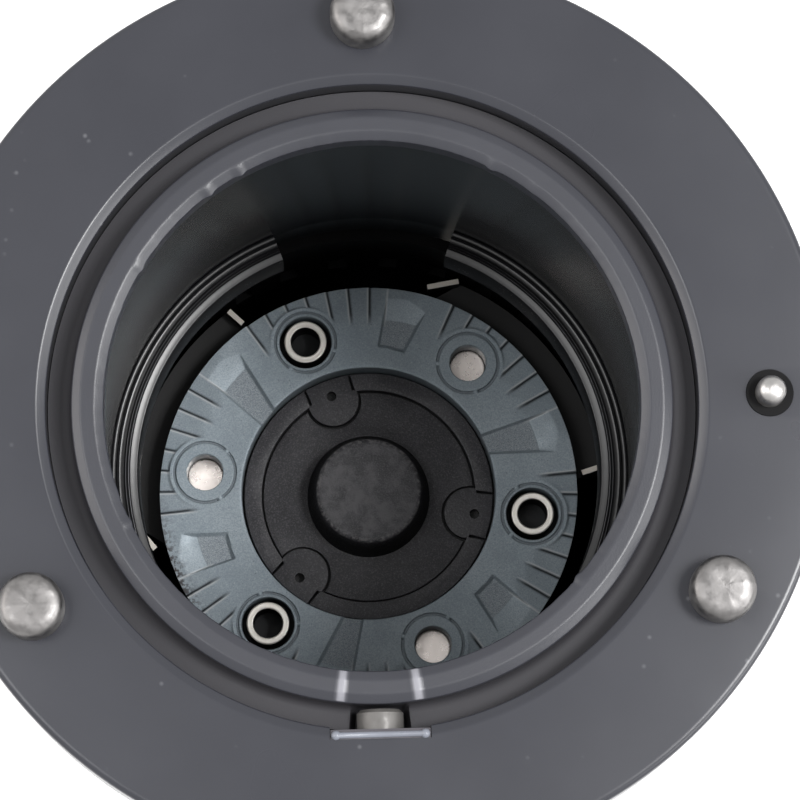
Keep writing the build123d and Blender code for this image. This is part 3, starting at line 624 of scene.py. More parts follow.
def box_data(x, y, z):
    """Vertices and faces of a box between its limits, for cutting."""
    corners = [(x[i], y[j], z[k]) for i in (0, 1) for j in (0, 1) for k in (0, 1)]
    return corners, [(0, 1, 3, 2), (4, 6, 7, 5), (0, 4, 5, 1), (2, 3, 7, 6), (0, 2, 6, 4), (1, 5, 7, 3)]


deck_outline = (
    [(GROOVE_R, -PLATE_T)]
    + bevel(GROOVE_R, 1)
    + [(PLATE_R - 1.3, 0.0), (PLATE_R - 0.95, -0.02), (PLATE_R - 0.55, -0.14), (PLATE_R - 0.25, -0.38)]
    + [(PLATE_R - 0.07, -0.7), (PLATE_R, -1.1), (PLATE_R, -1.4), (PLATE_R, -PLATE_SKIRT + 0.6)]
    + [(PLATE_R - 0.2, -PLATE_SKIRT + 0.15), (PLATE_R - 0.6, -PLATE_SKIRT), (PLATE_R - 2.5, -PLATE_SKIRT)]
    + [(PLATE_R - 2.5, -PLATE_T)]
)
deck = make_object("deck", *lathe_data(deck_outline, segments=TURNS), sharp=50.0)
notch_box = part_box("latch_block")
notch_x = notch_box[1].x / MM + 0.1
notch_data = box_data((-notch_x, notch_x), (-56.2, -50.0), (-PLATE_T - 1.0, 1.0))
LATCH_ROOF = -0.7
STUD_RING = 66.1
STUD_ANGLES = (90, 210, 330)
STUD_HOLE_R = 2.6
SCREW_RING = 58.0
SCREW_ANGLES = (45, 135, 225, 315)
SCREW_HOLE_R = 1.5
SCREW_HOLE_TOP = -2.5
PIN_RING = 66.6
COLLAR_HOLE_R = 4.0
under_plate = -PLATE_T - 1.0
collar_hole = lathe_data(hole_outline(COLLAR_HOLE_R, under_plate, 1.0), 64, (PIN_RING, 0.0))
latch_rear = notch_box[0].y / MM - 0.1
pocket_data = box_data((-notch_x, notch_x), (latch_rear, -56.0), (under_plate, LATCH_ROOF))
nose_data = box_data((-notch_x, notch_x), (-56.8, -56.0), (under_plate, -0.2))
deck_cutters = [notch_data, collar_hole, pocket_data, nose_data]
for ring, angles, radius, top in (
    (STUD_RING, STUD_ANGLES, STUD_HOLE_R, 1.0),
    (SCREW_RING, SCREW_ANGLES, SCREW_HOLE_R, SCREW_HOLE_TOP),
):
    hole_profile = hole_outline(radius, under_plate, top)
    for angle in angles:
        turn = math.radians(angle)
        centre = (ring * math.cos(turn), ring * math.sin(turn))
        deck_cutters.append(lathe_data(hole_profile, 48, centre))
for data in deck_cutters:
    cut(deck, make_object("deck_cutter", *data))
deck.data.shade_smooth()
deck.data.set_sharp_from_angle(angle=math.radians(50.0))
deck.data.materials.clear()
place(deck, "machine", "deck_plastic", FINISHES["deck_plastic"], "mounting_plate")

# ------------------------------------------------------------------ ledge

LEDGE_R = 43.2
ledge_top = top_of("bayonet_ring") - 0.5
ledge_gap = 20.6


def ridge(radius):
    """A fine upstanding ridge on the ledge."""
    shape = ((-0.3, 0.0), (-0.2, 0.08), (-0.1, 0.38), (0.0, 0.45), (0.1, 0.38), (0.2, 0.08), (0.3, 0.0))
    return [(radius + across, ledge_top + up) for across, up in shape]


RIDGES = (44.95, 45.5, 47.0)
ledge_outline = [(LEDGE_R, ledge_top - 0.25), (LEDGE_R + 0.1, ledge_top - 0.06), (LEDGE_R + 0.3, ledge_top)]
for radius in RIDGES:
    ledge_outline += ridge(radius)
ledge_outline += [
    (47.6, ledge_top), (47.95, ledge_top + 0.1), (48.15, ledge_top + 0.35), (48.2, ledge_top + 0.5),
    (48.2, -93.5), (LEDGE_R, -93.5),
]
ledge_span = (90.0 + ledge_gap, 450.0 - ledge_gap)
LEDGE_STEPS = 620
ledge = make_object("ledge", *lathe_data(ledge_outline, segments=LEDGE_STEPS, span=ledge_span), sharp=55.0)
ledge_turns = np.radians(np.linspace(*ledge_span, LEDGE_STEPS))
sides = np.abs(np.cos(ledge_turns)) ** 3
# Painted sheen on the ridges, strongest at the left and right sides of the throat.
ridge_sheen = np.zeros((len(ledge_outline), LEDGE_STEPS))
for k, share in enumerate((0.7, 0.4, 0.03)):
    ridge_sheen[3 + 7 * k + 3] = share * sides
face = np.zeros_like(ridge_sheen)
face[0] = 1.0
face[-1] = 1.0
store(ledge, "ridge_sheen", ridge_sheen)
store(ledge, "face", face)
place(ledge, "machine", "gloss_black", ledge_plastic(), "bayonet_ring")

# ------------------------------------------------------------------ grinding disc

DISC_TOP = top_of("grinding_disc")
DISC_T = DISC_TOP - bottom_of("grinding_disc")
DISC_R = 40.5
BORE_R = 24.6
FEATURE_R = 32.0
POCKET_DEPTH = 0.95
FLOOR_END_R = 34.1
BUSHING_ANGLES = [111.2 + 120 * k for k in range(3)]
PIN_ANGLES = [51.4 + 120 * k for k in range(3)]
PIN_HOLE_R = 3.5
PIN_BUTTON_R = 3.44
SECTOR = 60.0
TEETH = [28.7 + 6.0 * k for k in range(7)]
TOOTH_START_R = 32.8
TOOTH_RISE = 0.1
COLUMN = 0.3


def disc_relief(radius, angle):
    """Height of the disc's upper face below its ground plane, how rough it is, and where it gets painted
    highlights and painted shade.
    """
    local = (angle - 10.0) % SECTOR + 10.0
    is_open = ((angle - local) / SECTOR).round() % 2 == 0
    x = radius * np.cos(np.radians(local))
    y = radius * np.sin(np.radians(local))

    def beyond(start, end):
        """Distance on the anticlockwise side of a line between two (radius, angle) points."""
        ax, ay = polar(*start)
        bx, by = polar(*end)
        length = math.hypot(bx - ax, by - ay)
        return ((bx - ax) * (y - ay) - (by - ay) * (x - ax)) / length

    after_first = beyond((BORE_R, 16.4), (37.0, 11.1))
    before_last = -beyond((BORE_R, 26.4), (DISC_R, 23.1))
    share = np.clip(after_first / (after_first + before_last + 1e-9), 0, 1)
    ramp_end = 37.0 + (DISC_R - 37.0) * share
    slope = np.clip((radius - FLOOR_END_R) / (ramp_end - FLOOR_END_R), 0, 1)
    floor = POCKET_DEPTH * (1 - slope)
    from_bore = np.where(is_open, 9.0, radius - (28.3 + 0.5 * share))
    wall = np.minimum(np.minimum(after_first * 1.5, before_last * 2.2), from_bore * 1.5)
    pocket = np.clip(np.minimum(floor, wall), 0, None)

    teeth = np.zeros_like(pocket)
    tooth_highlight = np.zeros_like(pocket)
    painted_shade = np.zeros_like(pocket)
    full_depth = np.clip(TOOTH_RISE * (radius - TOOTH_START_R), 0, None)
    for line in TEETH + [23.1]:
        behind = np.radians(line - local) * radius
        if line != 23.1:
            step = behind / 0.6
            facet = full_depth - 0.08 * (behind - full_depth)
            teeth = np.maximum(teeth, np.clip(np.minimum(step, facet), 0, None))
        # Painted highlight along the top edge of each tooth step.
        near = np.exp(-((behind + 0.1) / 0.15) ** 2) * np.clip((radius - TOOTH_START_R) / 2.0, 0, 1)
        tooth_highlight = np.maximum(tooth_highlight, near)
        # Painted shade along the foot of each tooth step.
        foot = np.exp(-((behind - 0.32) / 0.26) ** 2) * np.clip((radius - TOOTH_START_R) / 2.5, 0, 1)
        painted_shade = np.maximum(painted_shade, foot * (line != 23.1))
    nearest = np.full_like(pocket, 99.0)
    for at in BUSHING_ANGLES + PIN_ANGLES:
        cx, cy = polar(FEATURE_R, at)
        gx = radius * np.cos(np.radians(angle)) - cx
        gy = radius * np.sin(np.radians(angle)) - cy
        nearest = np.minimum(nearest, np.hypot(gx, gy))
    clear = np.clip((nearest - 6.7) / 0.5, 0, 1)
    teeth = teeth * clear
    depth = np.maximum(pocket, teeth)
    depth = np.where(nearest < 6.2, DISC_T - 0.05, depth)
    rough = ((pocket > 0.85 * POCKET_DEPTH) & (radius < FLOOR_END_R)).astype(float)
    rough = np.maximum(rough, 0.12 * (teeth > 0.05))
    # Painted shade under the bosses, seen in the gaps round the bushings.
    well = (nearest < 6.2).astype(float)
    return depth, rough, tooth_highlight * clear, painted_shade * clear, well


angles = 28.7 + COLUMN / 2 + COLUMN * np.arange(int(360 / COLUMN))
inner_radii = [BORE_R, BORE_R + 0.15]
outer_radii = [DISC_R - 0.05, DISC_R]
radii = np.concatenate([inner_radii, np.linspace(BORE_R + 0.4, DISC_R - 0.2, 60), outer_radii])
R, A = np.meshgrid(radii, angles, indexing="ij")
depth, rough, tooth_highlight, painted_shade, well = disc_relief(R, A)
depth[0] += 0.25
depth[1] += 0.05
depth[-1] += 0.2
X, Y = R * np.cos(np.radians(A)), R * np.sin(np.radians(A))
top_rows = np.stack([X, Y, DISC_TOP - depth], axis=-1)
bottom = DISC_TOP - DISC_T
rim_row = np.stack([X[-1], Y[-1], np.full_like(X[-1], bottom)], axis=-1)
bore_row = np.stack([X[0], Y[0], np.full_like(X[0], bottom)], axis=-1)
disc_grid = np.concatenate([top_rows, rim_row[None], bore_row[None]])
disc_data = (disc_grid.reshape(-1, 3), grid_faces(len(disc_grid), len(angles), True, True))


def boss(angle, hole_r, land_r):
    """Raised ring round a hole in the disc, with a groove outside it that has two short gaps."""
    top = DISC_TOP
    outline = [
        (hole_r, top - DISC_T + 0.02), (hole_r, top - 0.2), (hole_r + 0.08, top), (land_r, top + 0.08),
        (land_r + 0.08, top + 0.08), (5.42, top + 0.08), (5.5, top + 0.08), (5.6, top + 0.02),
        (5.68, top - 0.4), (6.1, top - 0.4), (6.2, top - 0.02), (6.28, top + 0.012), (6.34, top + 0.012),
        (6.72, top + 0.012), (6.78, top + 0.012), (6.8, top - 0.3), (6.8, top - DISC_T + 0.02),
    ]
    segments = 144
    vertices, faces = lathe_data(outline, segments, centre=polar(FEATURE_R, angle))
    rows = vertices.reshape(len(outline), segments, 3)
    turn = np.linspace(0.0, 360.0, segments, endpoint=False)
    inward = (turn - angle - 180.0 + 180.0) % 360.0 - 180.0
    filled = np.exp(-((np.abs(inward) - 52.0) / 5.0) ** 4)
    for row in (8, 9):
        rows[row, :, 2] = rows[row, :, 2] * (1 - filled) + (top + 0.01) * filled
    # Painted shade in the groove round each boss and down its hole.
    boss_shade = np.zeros(rows.shape[:2])
    boss_shade[8:10] = 0.45 * (1.0 - filled)
    boss_shade[0] = 1.0
    return rows.reshape(-1, 3), faces, boss_shade.reshape(-1)


bosses = [boss(angle, 5.05, 5.2) for angle in BUSHING_ANGLES]
bosses += [boss(angle, PIN_HOLE_R, PIN_HOLE_R + 0.2) for angle in PIN_ANGLES]
disc_vertices, disc_faces = joined(disc_data, *[part[:2] for part in bosses])
disc = make_object("disc", disc_vertices, disc_faces, sharp=32.0)

turn = (A - 202.0 + 180.0) % 360.0 - 180.0
store(disc, "rough", rough)
store(disc, "edge", tooth_highlight)
disc_shade = np.zeros(disc_grid.shape[:2])
disc_shade[: len(radii)] = np.maximum(painted_shade, well)
store(disc, "painted_shade", np.concatenate([disc_shade.reshape(-1)] + [part[2] for part in bosses]))
store(disc, "wear_and_sheen", np.exp(-((DISC_R - R) / 1.8) ** 2) * np.exp(-(turn / 16.0) ** 2))
place(disc, "rotor", "disc_iron", FINISHES["disc_iron"], "grinding_disc")

# ------------------------------------------------------------------ disc's fittings

bushing_top = top_of("disc_bushings")
bushing_outline = [
    (2.8, -119.9), (2.8, bushing_top - 0.5), (2.85, bushing_top - 0.14), (3.0, bushing_top),
    (3.12, bushing_top + 0.02), (3.45, bushing_top - 0.08), (3.8, bushing_top + 0.02), (3.95, bushing_top),
    (4.1, bushing_top - 0.14), (4.15, bushing_top - 0.6), (4.15, -119.9),
]
bushings = make_object(
    "bushings",
    *joined(*[lathe_data(bushing_outline, 96, polar(FEATURE_R, angle)) for angle in BUSHING_ANGLES]),
    sharp=40.0,
)
place(bushings, "rotor", "polished_steel", satin_ring(), "disc_bushings")

pin_top = top_of("disc_pins")
pin_bottom = bottom_of("disc_pins")
rivet_outline = [
    (AXIS_R, pin_bottom), (4.2, pin_bottom), (4.6, pin_bottom + 0.4), (4.6, -125.0), (3.1, -125.0),
    (3.1, pin_top - 1.05), (PIN_BUTTON_R, pin_top - 1.0), (PIN_BUTTON_R, pin_top - 0.12),
    (PIN_BUTTON_R - 0.1, pin_top - 0.02), (PIN_BUTTON_R - 0.25, pin_top), (PIN_BUTTON_R - 0.35, pin_top),
    (AXIS_R, pin_top),
]
rivets = make_object(
    "rivets", *joined(*[lathe_data(rivet_outline, 72, polar(FEATURE_R, angle)) for angle in PIN_ANGLES])
)
pin_finish = metal(
    "pin_steel", (238, 229, 223), 0.3, metallic=0.85, blotch=0.05, grain_mm=0.6, depth_mm=0.001
)
place(rivets, "rotor", "pale_steel", pin_finish, "disc_pins")

# ------------------------------------------------------------------ hub

HUB_TOP = top_of("hub_plate")
RING_TOP = top_of("hub_ring")
RING_OUTER = 24.15
RING_INNER = 20.8
TAB_ANGLES = [108.8 + 120 * k for k in range(3)]
TAB_HEAD_AT = 20.0


def turned_by(points, angle):
    """Points of an outline whose axis is +X, turned about the machine's axis."""
    c, s = math.cos(math.radians(angle)), math.sin(math.radians(angle))
    return [(x * c - y * s, x * s + y * c) for x, y in points]


def tab_outline(neck, waist, head, outer, meet):
    """Keyhole outline: a neck that reaches the rim and a round head inside the ring."""
    rim_turn = math.degrees(math.asin(neck / outer))
    waist_u = math.sqrt(meet**2 - waist**2)
    head_turn = 84.0
    rim = arc(outer, -rim_turn, rim_turn, 9)
    side = [(waist_u + 0.9, waist + 0.02), (waist_u + 0.25, waist)]
    round_head = arc(head, head_turn, 360.0 - head_turn, 40, centre=(TAB_HEAD_AT, 0.0))
    back = [(x, -y) for x, y in reversed(side)]
    return rim + side + round_head + back


tabs = []
for angle in TAB_ANGLES:
    outline = turned_by(tab_outline(4.35, 4.15, 5.0, RING_OUTER, RING_INNER), angle)
    tabs.append(slab_data(outline, bottom_of("hub_ring"), RING_TOP - 0.05, bevel=0.1))
PINHOLE_R = 0.95
PINHOLE_AT = 20.9
hub_tabs = make_object("hub_tabs", *joined(*tabs), sharp=40.0)
hole_low = bottom_of("hub_ring") - 1.0
hole_high = RING_TOP + 1.0
pinhole = hole_outline(PINHOLE_R, hole_low, hole_high)
pinholes = joined(*[lathe_data(pinhole, 40, polar(PINHOLE_AT, angle)) for angle in TAB_ANGLES])
cut(hub_tabs, make_object("pinhole_cutter", *pinholes))
hub_tabs.data.set_sharp_from_angle(angle=math.radians(40.0))
hub_tabs.data.materials.clear()
place(hub_tabs, "rotor", "hub_plastic", FINISHES["hub_plastic"])

segments = []
for angle in TAB_ANGLES:
    outer_turn = math.degrees(math.asin(4.75 / RING_OUTER))
    inner_turn = math.degrees(math.asin(4.65 / RING_INNER))
    outline = arc(RING_OUTER, angle + outer_turn, angle + 120.0 - outer_turn, 72)
    outline += arc(RING_INNER, angle + 120.0 - inner_turn, angle + inner_turn, 66)
    segments.append(slab_data(outline, bottom_of("hub_ring"), RING_TOP, bevel=0.12))
hub_segments = make_object("hub_segments", *joined(*segments), sharp=40.0)
place(hub_segments, "rotor", "hub_plastic", FINISHES["hub_plastic"], "hub_ring")

HUB_PLATE_R = 20.45
NOTCH_R = 5.45
plate_points = []
notch_cosine = (HUB_PLATE_R**2 + TAB_HEAD_AT**2 - NOTCH_R**2) / (2 * HUB_PLATE_R * TAB_HEAD_AT)
notch_reach = math.degrees(math.acos(notch_cosine))
for angle in TAB_ANGLES:
    hit = np.array(polar(HUB_PLATE_R, notch_reach)) - np.array([TAB_HEAD_AT, 0.0])
    edge_turn = math.degrees(math.atan2(hit[1], hit[0]))
    notch = arc(NOTCH_R, 360.0 - edge_turn, edge_turn, 40, centre=(TAB_HEAD_AT, 0.0))
    plate_points += turned_by(notch, angle)
    plate_points += arc(HUB_PLATE_R, angle + notch_reach, angle + 120.0 - notch_reach, 60)[1:-1]
hub_floor_data = slab_data(plate_points, bottom_of("hub_plate"), HUB_TOP, bevel=0.1)
hub_floor = make_object("hub_floor", *hub_floor_data, sharp=40.0)
place(hub_floor, "rotor", "hub_plastic", FINISHES["hub_plastic"], "hub_plate")

KNOB_TOP = top_of("hub_cap")
knob_outline = [
    (AXIS_R, HUB_TOP + 0.02), (11.9, HUB_TOP + 0.02), (11.8, HUB_TOP + 0.5), (11.45, HUB_TOP + 2.0),
    (10.3, KNOB_TOP - 1.3), (10.15, KNOB_TOP - 0.6), (9.95, KNOB_TOP - 0.22), (9.6, KNOB_TOP - 0.05),
    (9.2, KNOB_TOP), (8.9, KNOB_TOP),
    (AXIS_R, KNOB_TOP - 0.05),
]
knob = make_object("knob", *lathe_data(knob_outline, 180), sharp=60.0)
place(knob, "rotor", "hub_plastic", hub_plastic("hub_plastic_worn", KNOB_TOP - 0.4), "hub_cap")

# ------------------------------------------------------------------ plate's fittings

STUD_TOP = top_of("mount_studs")
stud_parts = []
for k, angle in enumerate(STUD_ANGLES):
    outline = [(AXIS_R, -17.9), (2.5, -17.9), (2.5, 0.02), (5.3, 0.02), (5.5, 0.3), (5.5, 3.9), (5.42, 4.7),
               (5.15, 5.45), (4.7, 6.0), (4.0, 6.35), (3.0, 6.47), (1.5, STUD_TOP - 0.01), (AXIS_R, STUD_TOP)]
    vertices, faces = lathe_data(outline, 96, polar(STUD_RING, angle))
    centre = np.array(polar(STUD_RING, angle))
    lean = np.array(polar(0.05, 40.0 + 110.0 * k))
    top = vertices[:, 2] > 4.5
    away = vertices[:, :2] - centre
    wobble = 0.10 * np.sin(away[:, 0] * 1.1 + k) * np.cos(away[:, 1] * 1.3 + 2 * k)
    vertices[top, 2] -= np.abs(wobble[top]) + np.clip(away[top] @ lean, 0, None)
    stud_parts.append((vertices, faces))
studs = make_object("studs", *joined(*stud_parts), sharp=60.0)
place(studs, "machine", "cast_steel", FINISHES["cast_steel"], "mount_studs")

# Raised bar on the latch's front edge, with a small round bead at each end; its pale colour is a painted
# highlight along that edge.
BAR_HALF = 7.4
BAR_Y = -55.5
BEAD_R = 0.8


def side_profile(x, radius, steps=24):
    """One upright ring of a bar that runs along X, its centre sunk a little below the deck."""
    turns_round = np.linspace(0.0, 2 * math.pi, steps, endpoint=False)
    return [(x, BAR_Y + radius * math.cos(t), -0.2 + radius * math.sin(t)) for t in turns_round]


bar_rings = []
for end, order in ((-1, 1), (1, -1)):
    bead_turns = np.linspace(0.02, 2.45, 14)
    bead = [(end * (BAR_HALF + BEAD_R * math.cos(t)), BEAD_R * math.sin(t)) for t in bead_turns]
    bar_rings += bead[::order] if end < 0 else bead[::-1]
bar_vertices = [point for x, radius in bar_rings for point in side_profile(x, radius)]
bar_faces = grid_faces(len(bar_rings), 24, False, True)
bar_faces += [list(range(24))[::-1], [(len(bar_rings) - 1) * 24 + i for i in range(24)]]
latch_bar = make_object("latch_bar", bar_vertices, bar_faces, sharp=60.0)
# Painted highlight: the bar is painted a pale grey.
place(latch_bar, "machine", "deck_plastic", moulded("bar_painted_highlight", (112, 115, 124), 0.3, dust=0.0))

# ------------------------------------------------------------------ springs

SPRING_SLOT = "polished_steel"
SPRING_RING = 10
SPRING_STEPS = 40


def spring_data(radius, wire_r, length, turns_count, start, direction):
    """Open coil of round wire that starts at a point and runs along a direction."""
    ahead = Vector(direction)
    side = ahead.orthogonal().normalized()
    other = ahead.cross(side)
    count = turns_count * SPRING_STEPS + 1
    rings = []
    for i in range(count):
        turned = 2 * math.pi * i / SPRING_STEPS
        outward = side * math.cos(turned) + other * math.sin(turned)
        centre = Vector(start) + outward * radius + ahead * length * i / (count - 1)
        for k in range(SPRING_RING):
            lean = 2 * math.pi * k / SPRING_RING
            rings.append(centre + (outward * math.cos(lean) + ahead * math.sin(lean)) * wire_r)
    faces = grid_faces(count, SPRING_RING, False, True)
    faces.append(list(range(SPRING_RING))[::-1])
    faces.append([(count - 1) * SPRING_RING + k for k in range(SPRING_RING)])
    return [tuple(point) for point in rings], faces


# Each spring: coil radius, wire radius, length, turns, start, direction, fixed end and share kept.
PLUNGER_Z = -4.95
# Coil radius, wire radius, length, turns, start, direction, fixed end, share kept when pressed, joint.
# The latch coil's wire is thinner than the CAD's, which is too thick for the plunger's full travel.
SPRINGS = {
    "interlock": (
        3.1, 0.35, 18.6, 7, (PIN_RING, 0.0, -33.9), (0, 0, 1), (PIN_RING, 0.0, -34.0), 0.84, "interlock_press"
    ),
    "latch": (
        2.5, 0.25, 5.6, 5, (0.0, -64.4, PLUNGER_Z), (0, -1, 0),
        (0.0, -70.2, PLUNGER_Z), 0.42, "plunger_retract",
    ),
    "reset": (3.2, 0.4, 8.6, 5, (0.0, -38.0, -285.5), (0, 0, 1), (0.0, -38.0, -276.5), 0.77, "reset_press"),
}
for name, (radius, wire_r, length, count, start, direction, fixed, keep, joint) in SPRINGS.items():
    coil_data = spring_data(radius, wire_r, length, count, start, direction)
    spring = make_object(name + "_coil", *coil_data, sharp=60.0)
    place(spring, "machine", SPRING_SLOT, FINISHES[SPRING_SLOT], name + "_spring")
    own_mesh(spring)

# ------------------------------------------------------------------ outer body

SHELL_R = 66.0
SHELL_BORE_R = 63.5
NECK_R = 59.0
SHELL_TOP = top_of("upper_shell")
SHELL_JOINT = bottom_of("upper_shell")
OUTLET_Z = -146.0
OUTLET_R = 19.0
OUTLET_EAR_X = 24.5
OUTLET_SCREW_HOLE_R = 1.6
INLET_HOLE_R = 13.0
INLET_Z = -66.0


def hull_oval(grow):
    """Oval round the drain outlet with an ear at each side, as (across, up) points."""
    big = OUTLET_R + 2.5 + grow
    small = 4.5 + grow
    lean = math.degrees(math.acos((big - small) / OUTLET_EAR_X))
    right_ear = arc(small, -lean, lean, 16, centre=(OUTLET_EAR_X, 0.0))
    top = arc(big, lean, 180.0 - lean, 40)
    left_ear = arc(small, 180.0 - lean, 180.0 + lean, 16, centre=(-OUTLET_EAR_X, 0.0))
    return right_ear + top + left_ear + arc(big, 180.0 + lean, 360.0 - lean, 40)


def facing_back(data):
    """Turns a slab that was built flat so that its top looks along +Y at the outlet's height."""
    vertices, faces = data
    vertices = np.asarray(vertices)
    turned_points = np.stack([-vertices[:, 0], vertices[:, 2], vertices[:, 1] + OUTLET_Z], axis=1)
    return turned_points, faces


def along_left(outline, height, segments=96):
    """A turned piece whose axis runs along -X: outline of (radius, distance from the machine's axis)."""
    vertices, faces = lathe_data(outline, segments)
    return np.stack([-vertices[:, 2], vertices[:, 1], vertices[:, 0] + height], axis=1), faces


shoulder = [(NECK_R - 0.9, SHELL_TOP), (NECK_R - 0.25, SHELL_TOP - 0.25), (NECK_R, SHELL_TOP - 0.9)]
shoulder += [(NECK_R, z) for z in (-24.0, -33.5)]
shoulder += [(NECK_R + 0.35, -36.6), (NECK_R + 1.3, -39.4), (SHELL_R - 1.5, -48.0), (SHELL_R - 0.4, -50.6)]
shoulder += [(SHELL_R, -54.0), (SHELL_R, -57.6), (SHELL_R - 0.5, -58.0), (SHELL_R - 0.5, -59.0)]
shoulder += [(SHELL_R, -59.4), (SHELL_R, -171.6), (SHELL_R - 0.5, -172.0)]
shoulder += [(SHELL_R - 0.5, -172.8), (SHELL_R, -173.2)]
shoulder += [(SHELL_R, SHELL_JOINT), (SHELL_BORE_R, SHELL_JOINT), (SHELL_BORE_R, -51.2)]
shoulder += [(NECK_R - 2.5, -39.2), (NECK_R - 2.5, SHELL_TOP)]
body_upper = make_object("body_upper", *lathe_data(shoulder, segments=360), sharp=35.0)
inlet_hole = along_left(hole_outline(INLET_HOLE_R, 50.0, 70.0), INLET_Z)
outlet_hole = facing_back(slab_data(hull_oval(1.0), 40.0, 70.0, bevel=0.01))
cut(body_upper, make_object("inlet_cutter", *inlet_hole))
cut(body_upper, make_object("outlet_cutter", *outlet_hole))
body_upper.data.set_sharp_from_angle(angle=math.radians(35.0))
body_upper.data.materials.clear()
place(body_upper, "machine", "shell_plastic", FINISHES["shell_plastic"], "upper_shell")

band_low = bottom_of("trim_band")
band_high = top_of("trim_band")
band_face = SHELL_R + 1.25
band_outline = [(SHELL_R + 0.05, band_low), (SHELL_R + 1.1, band_low), (SHELL_R + 1.5, band_low + 0.35)]
band_outline += [(SHELL_R + 1.6, band_low + 0.9), (SHELL_R + 1.5, band_low + 1.5)]
band_outline += [(band_face, band_low + 1.9), (band_face, band_high - 1.9)]
band_outline += [(SHELL_R + 1.5, band_high - 1.5), (SHELL_R + 1.6, band_high - 0.9)]
band_outline += [(SHELL_R + 1.5, band_high - 0.35), (SHELL_R + 1.1, band_high), (SHELL_R + 0.05, band_high)]
band = make_object("band", *lathe_data(band_outline, segments=360), sharp=50.0)
place(band, "machine", "brushed_trim", FINISHES["brushed_trim"], "trim_band")

barbs = [(8.0, 53.0), (8.6, 53.0), (8.9, 53.3), (8.9, 56.0), (11.0, 56.0), (11.0, 69.5), (15.1, 69.5)]
barbs += [(15.5, 69.9), (15.5, 71.6), (15.1, 72.0), (11.0, 72.0), (10.6, 73.0), (10.2, 76.0)]
for foot in (78.0, 83.0, 88.0):
    barbs += [(10.2, foot), (11.0, foot + 0.15), (11.0, foot + 0.7), (10.25, foot + 4.2)]
barbs += [(10.0, 93.5), (9.7, 95.3), (9.2, 96.0), (8.5, 96.0), (8.0, 95.4)]
inlet_tube = make_object("inlet_tube", *along_left(barbs, INLET_Z), sharp=35.0)
place(inlet_tube, "machine", "black_plastic", FINISHES["black_plastic"], "dishwasher_inlet")

ELBOW_START_Y = 64.5
ELBOW_TURN_Y = 76.0
ELBOW_BEND_R = 26.0
ELBOW_END_Z = bottom_of("outlet_elbow")
TUBE_R = 18.3
BORE_R_OUTLET = 17.0
elbow_path = [(ELBOW_START_Y + 4.0, OUTLET_Z, 0.0), (ELBOW_TURN_Y, OUTLET_Z, 0.0)]
for bend in np.linspace(3.0, 90.0, 30):
    turned_y = ELBOW_TURN_Y + ELBOW_BEND_R * math.sin(math.radians(bend))
    turned_z = OUTLET_Z - ELBOW_BEND_R * (1 - math.cos(math.radians(bend)))
    elbow_path.append((turned_y, turned_z, bend))
bead_rings = [(ELBOW_END_Z + 7.0, TUBE_R), (ELBOW_END_Z + 6.4, 18.5), (ELBOW_END_Z + 5.8, 18.9)]
bead_rings += [(ELBOW_END_Z + 5.0, OUTLET_R), (ELBOW_END_Z + 4.2, 18.9), (ELBOW_END_Z + 3.6, 18.5)]
bead_rings += [(ELBOW_END_Z + 3.0, TUBE_R), (ELBOW_END_Z + 0.6, TUBE_R), (ELBOW_END_Z + 0.15, 18.1)]
bead_rings += [(ELBOW_END_Z, 17.8), (ELBOW_END_Z, 17.2), (ELBOW_END_Z + 0.2, BORE_R_OUTLET)]


def elbow_ring(y, z, bend, radius, steps=96):
    """One ring of the elbow, square to its path."""
    round_turns = np.linspace(0.0, 2 * math.pi, steps, endpoint=False)
    rise = math.radians(bend)
    across = radius * np.cos(round_turns)
    up = radius * np.sin(round_turns)
    return np.stack([across, y + up * math.sin(rise), z + up * math.cos(rise)], axis=1)


end_y = ELBOW_TURN_Y + ELBOW_BEND_R
outer_rings = [elbow_ring(*spot, TUBE_R) for spot in elbow_path]
outer_rings += [elbow_ring(end_y, z, 90.0, radius) for z, radius in bead_rings]
inner_rings = [elbow_ring(*spot, BORE_R_OUTLET) for spot in reversed(elbow_path)]
elbow_rings = np.concatenate(outer_rings + inner_rings)
ring_count = len(outer_rings) + len(inner_rings)
elbow_tube = (elbow_rings, grid_faces(ring_count, 96, True, True))
flange_data = facing_back(slab_data(hull_oval(0.0), ELBOW_START_Y, 68.5, bevel=0.6))
flange = make_object("elbow_flange", *flange_data, sharp=40.0)
flange_bore = facing_back(lathe_data(hole_outline(BORE_R_OUTLET, 60.0, 72.0), 96))
ear_bores = [
    facing_back(lathe_data(hole_outline(OUTLET_SCREW_HOLE_R, 60.0, 72.0), 32, (side * OUTLET_EAR_X, 0.0)))
    for side in (-1, 1)
]
cut(flange, make_object("flange_cutter", *joined(flange_bore, *ear_bores)))
flange.data.set_sharp_from_angle(angle=math.radians(40.0))
flange.data.materials.clear()
place(flange, "machine", "black_plastic", FINISHES["black_plastic"])
elbow = make_object("elbow", *elbow_tube, sharp=40.0)
place(elbow, "machine", "black_plastic", FINISHES["black_plastic"], "outlet_elbow")

# ------------------------------------------------------------------ floor, light and camera

floor_size = 6.0
floor_shader = Shader("floor")
floor_shader.color(floor_shader.mix(floor_shader.noise(400.0), linear(250, 250, 250), linear(253, 253, 253)))
floor_shader.set(Roughness=0.8)
half = floor_size / 2 / MM
floor_z = bottom_of("feet")
floor = make_object(
    "floor", [(-half, -half, floor_z), (half, -half, floor_z), (half, half, floor_z), (-half, half, floor_z)],
    [(0, 1, 2, 3)],
)
floor.data.materials.append(floor_shader.material)


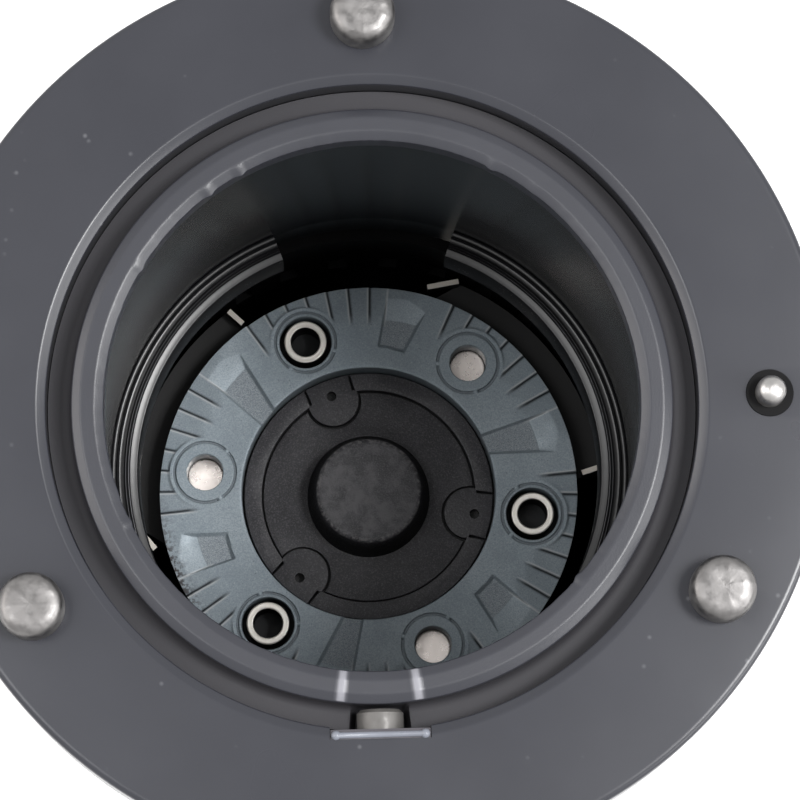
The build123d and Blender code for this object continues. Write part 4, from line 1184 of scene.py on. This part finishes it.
def softbox(name, location, target, size, power, colour=(1.0, 1.0, 1.0)):
    """Rectangular area light at a place, turned towards a target. Metres and watts."""
    light = bpy.data.lights.new(name, "AREA")
    light.shape = "RECTANGLE"
    light.size, light.size_y = size
    light.energy = power
    light.color = colour
    holder = bpy.data.objects.new(name, light)
    holder.location = location
    holder.rotation_euler = (Vector(target) - Vector(location)).to_track_quat("-Z", "Y").to_euler()
    bpy.context.scene.collection.objects.link(holder)
    return holder


softbox("right_light", (0.62, -0.06, 1.13), (-0.02, 0.0, -0.1), (0.38, 0.38), 15.0)
softbox("fill_light", (-0.55, -0.06, 1.12), (0.02, 0.0, -0.1), (0.5, 0.5), 4.0)
softbox("right_card", (0.95, -0.4, 0.52), (0.0, 0.0, 0.0), (0.9, 0.6), 8.0)
softbox("left_card", (-1.03, 0.08, 0.52), (0.0, 0.0, 0.0), (0.9, 0.6), 6.0, (1.0, 0.96, 0.93))

# White surroundings with a dimmer patch overhead, where the lens looks down.
WORLD_LEVEL = 0.95
world = bpy.data.worlds.new("studio")
world.use_nodes = True
world_nodes = world.node_tree.nodes
world_links = world.node_tree.links
direction = world_nodes.new("ShaderNodeTexCoord").outputs["Generated"]
overhead = world_nodes.new("ShaderNodeVectorMath")
overhead.operation = "DOT_PRODUCT"
overhead.inputs[1].default_value = Vector((0.05, 0.09, 1.0)).normalized()
dimmer = world_nodes.new("ShaderNodeMapRange")
dimmer.inputs["From Min"].default_value = 0.9
dimmer.inputs["From Max"].default_value = 0.985
dimmer.inputs["To Min"].default_value = WORLD_LEVEL
dimmer.inputs["To Max"].default_value = 0.68 * WORLD_LEVEL
world_links.new(direction, overhead.inputs[0])
world_links.new(overhead.outputs["Value"], dimmer.inputs["Value"])
world_links.new(dimmer.outputs["Result"], world_nodes["Background"].inputs["Strength"])
world_nodes["Background"].inputs["Color"].default_value = (1.0, 1.0, 1.0, 1.0)
bpy.context.scene.world = world
bpy.context.scene.view_settings.view_transform = "Standard"

CAMERA_AT = Vector((-0.0070, -0.10862, 0.6938))
CAMERA_AIM = Vector((0.00465, 0.0003, 0.0))
CAMERA_ROLL = math.radians(1.511)
SENSOR = 36.0
FOCAL = 189.0

camera_data = bpy.data.cameras.new("camera")
camera_data.sensor_width = SENSOR
camera_data.lens = FOCAL
camera = bpy.data.objects.new("camera", camera_data)
forward = (CAMERA_AIM - CAMERA_AT).normalized()
right = forward.cross(Vector((math.sin(CAMERA_ROLL), math.cos(CAMERA_ROLL), 0.0))).normalized()
upward = right.cross(forward)
camera.matrix_world = Matrix.Translation(CAMERA_AT) @ Matrix((right, upward, -forward)).transposed().to_4x4()
bpy.context.scene.collection.objects.link(camera)
bpy.context.scene.camera = camera
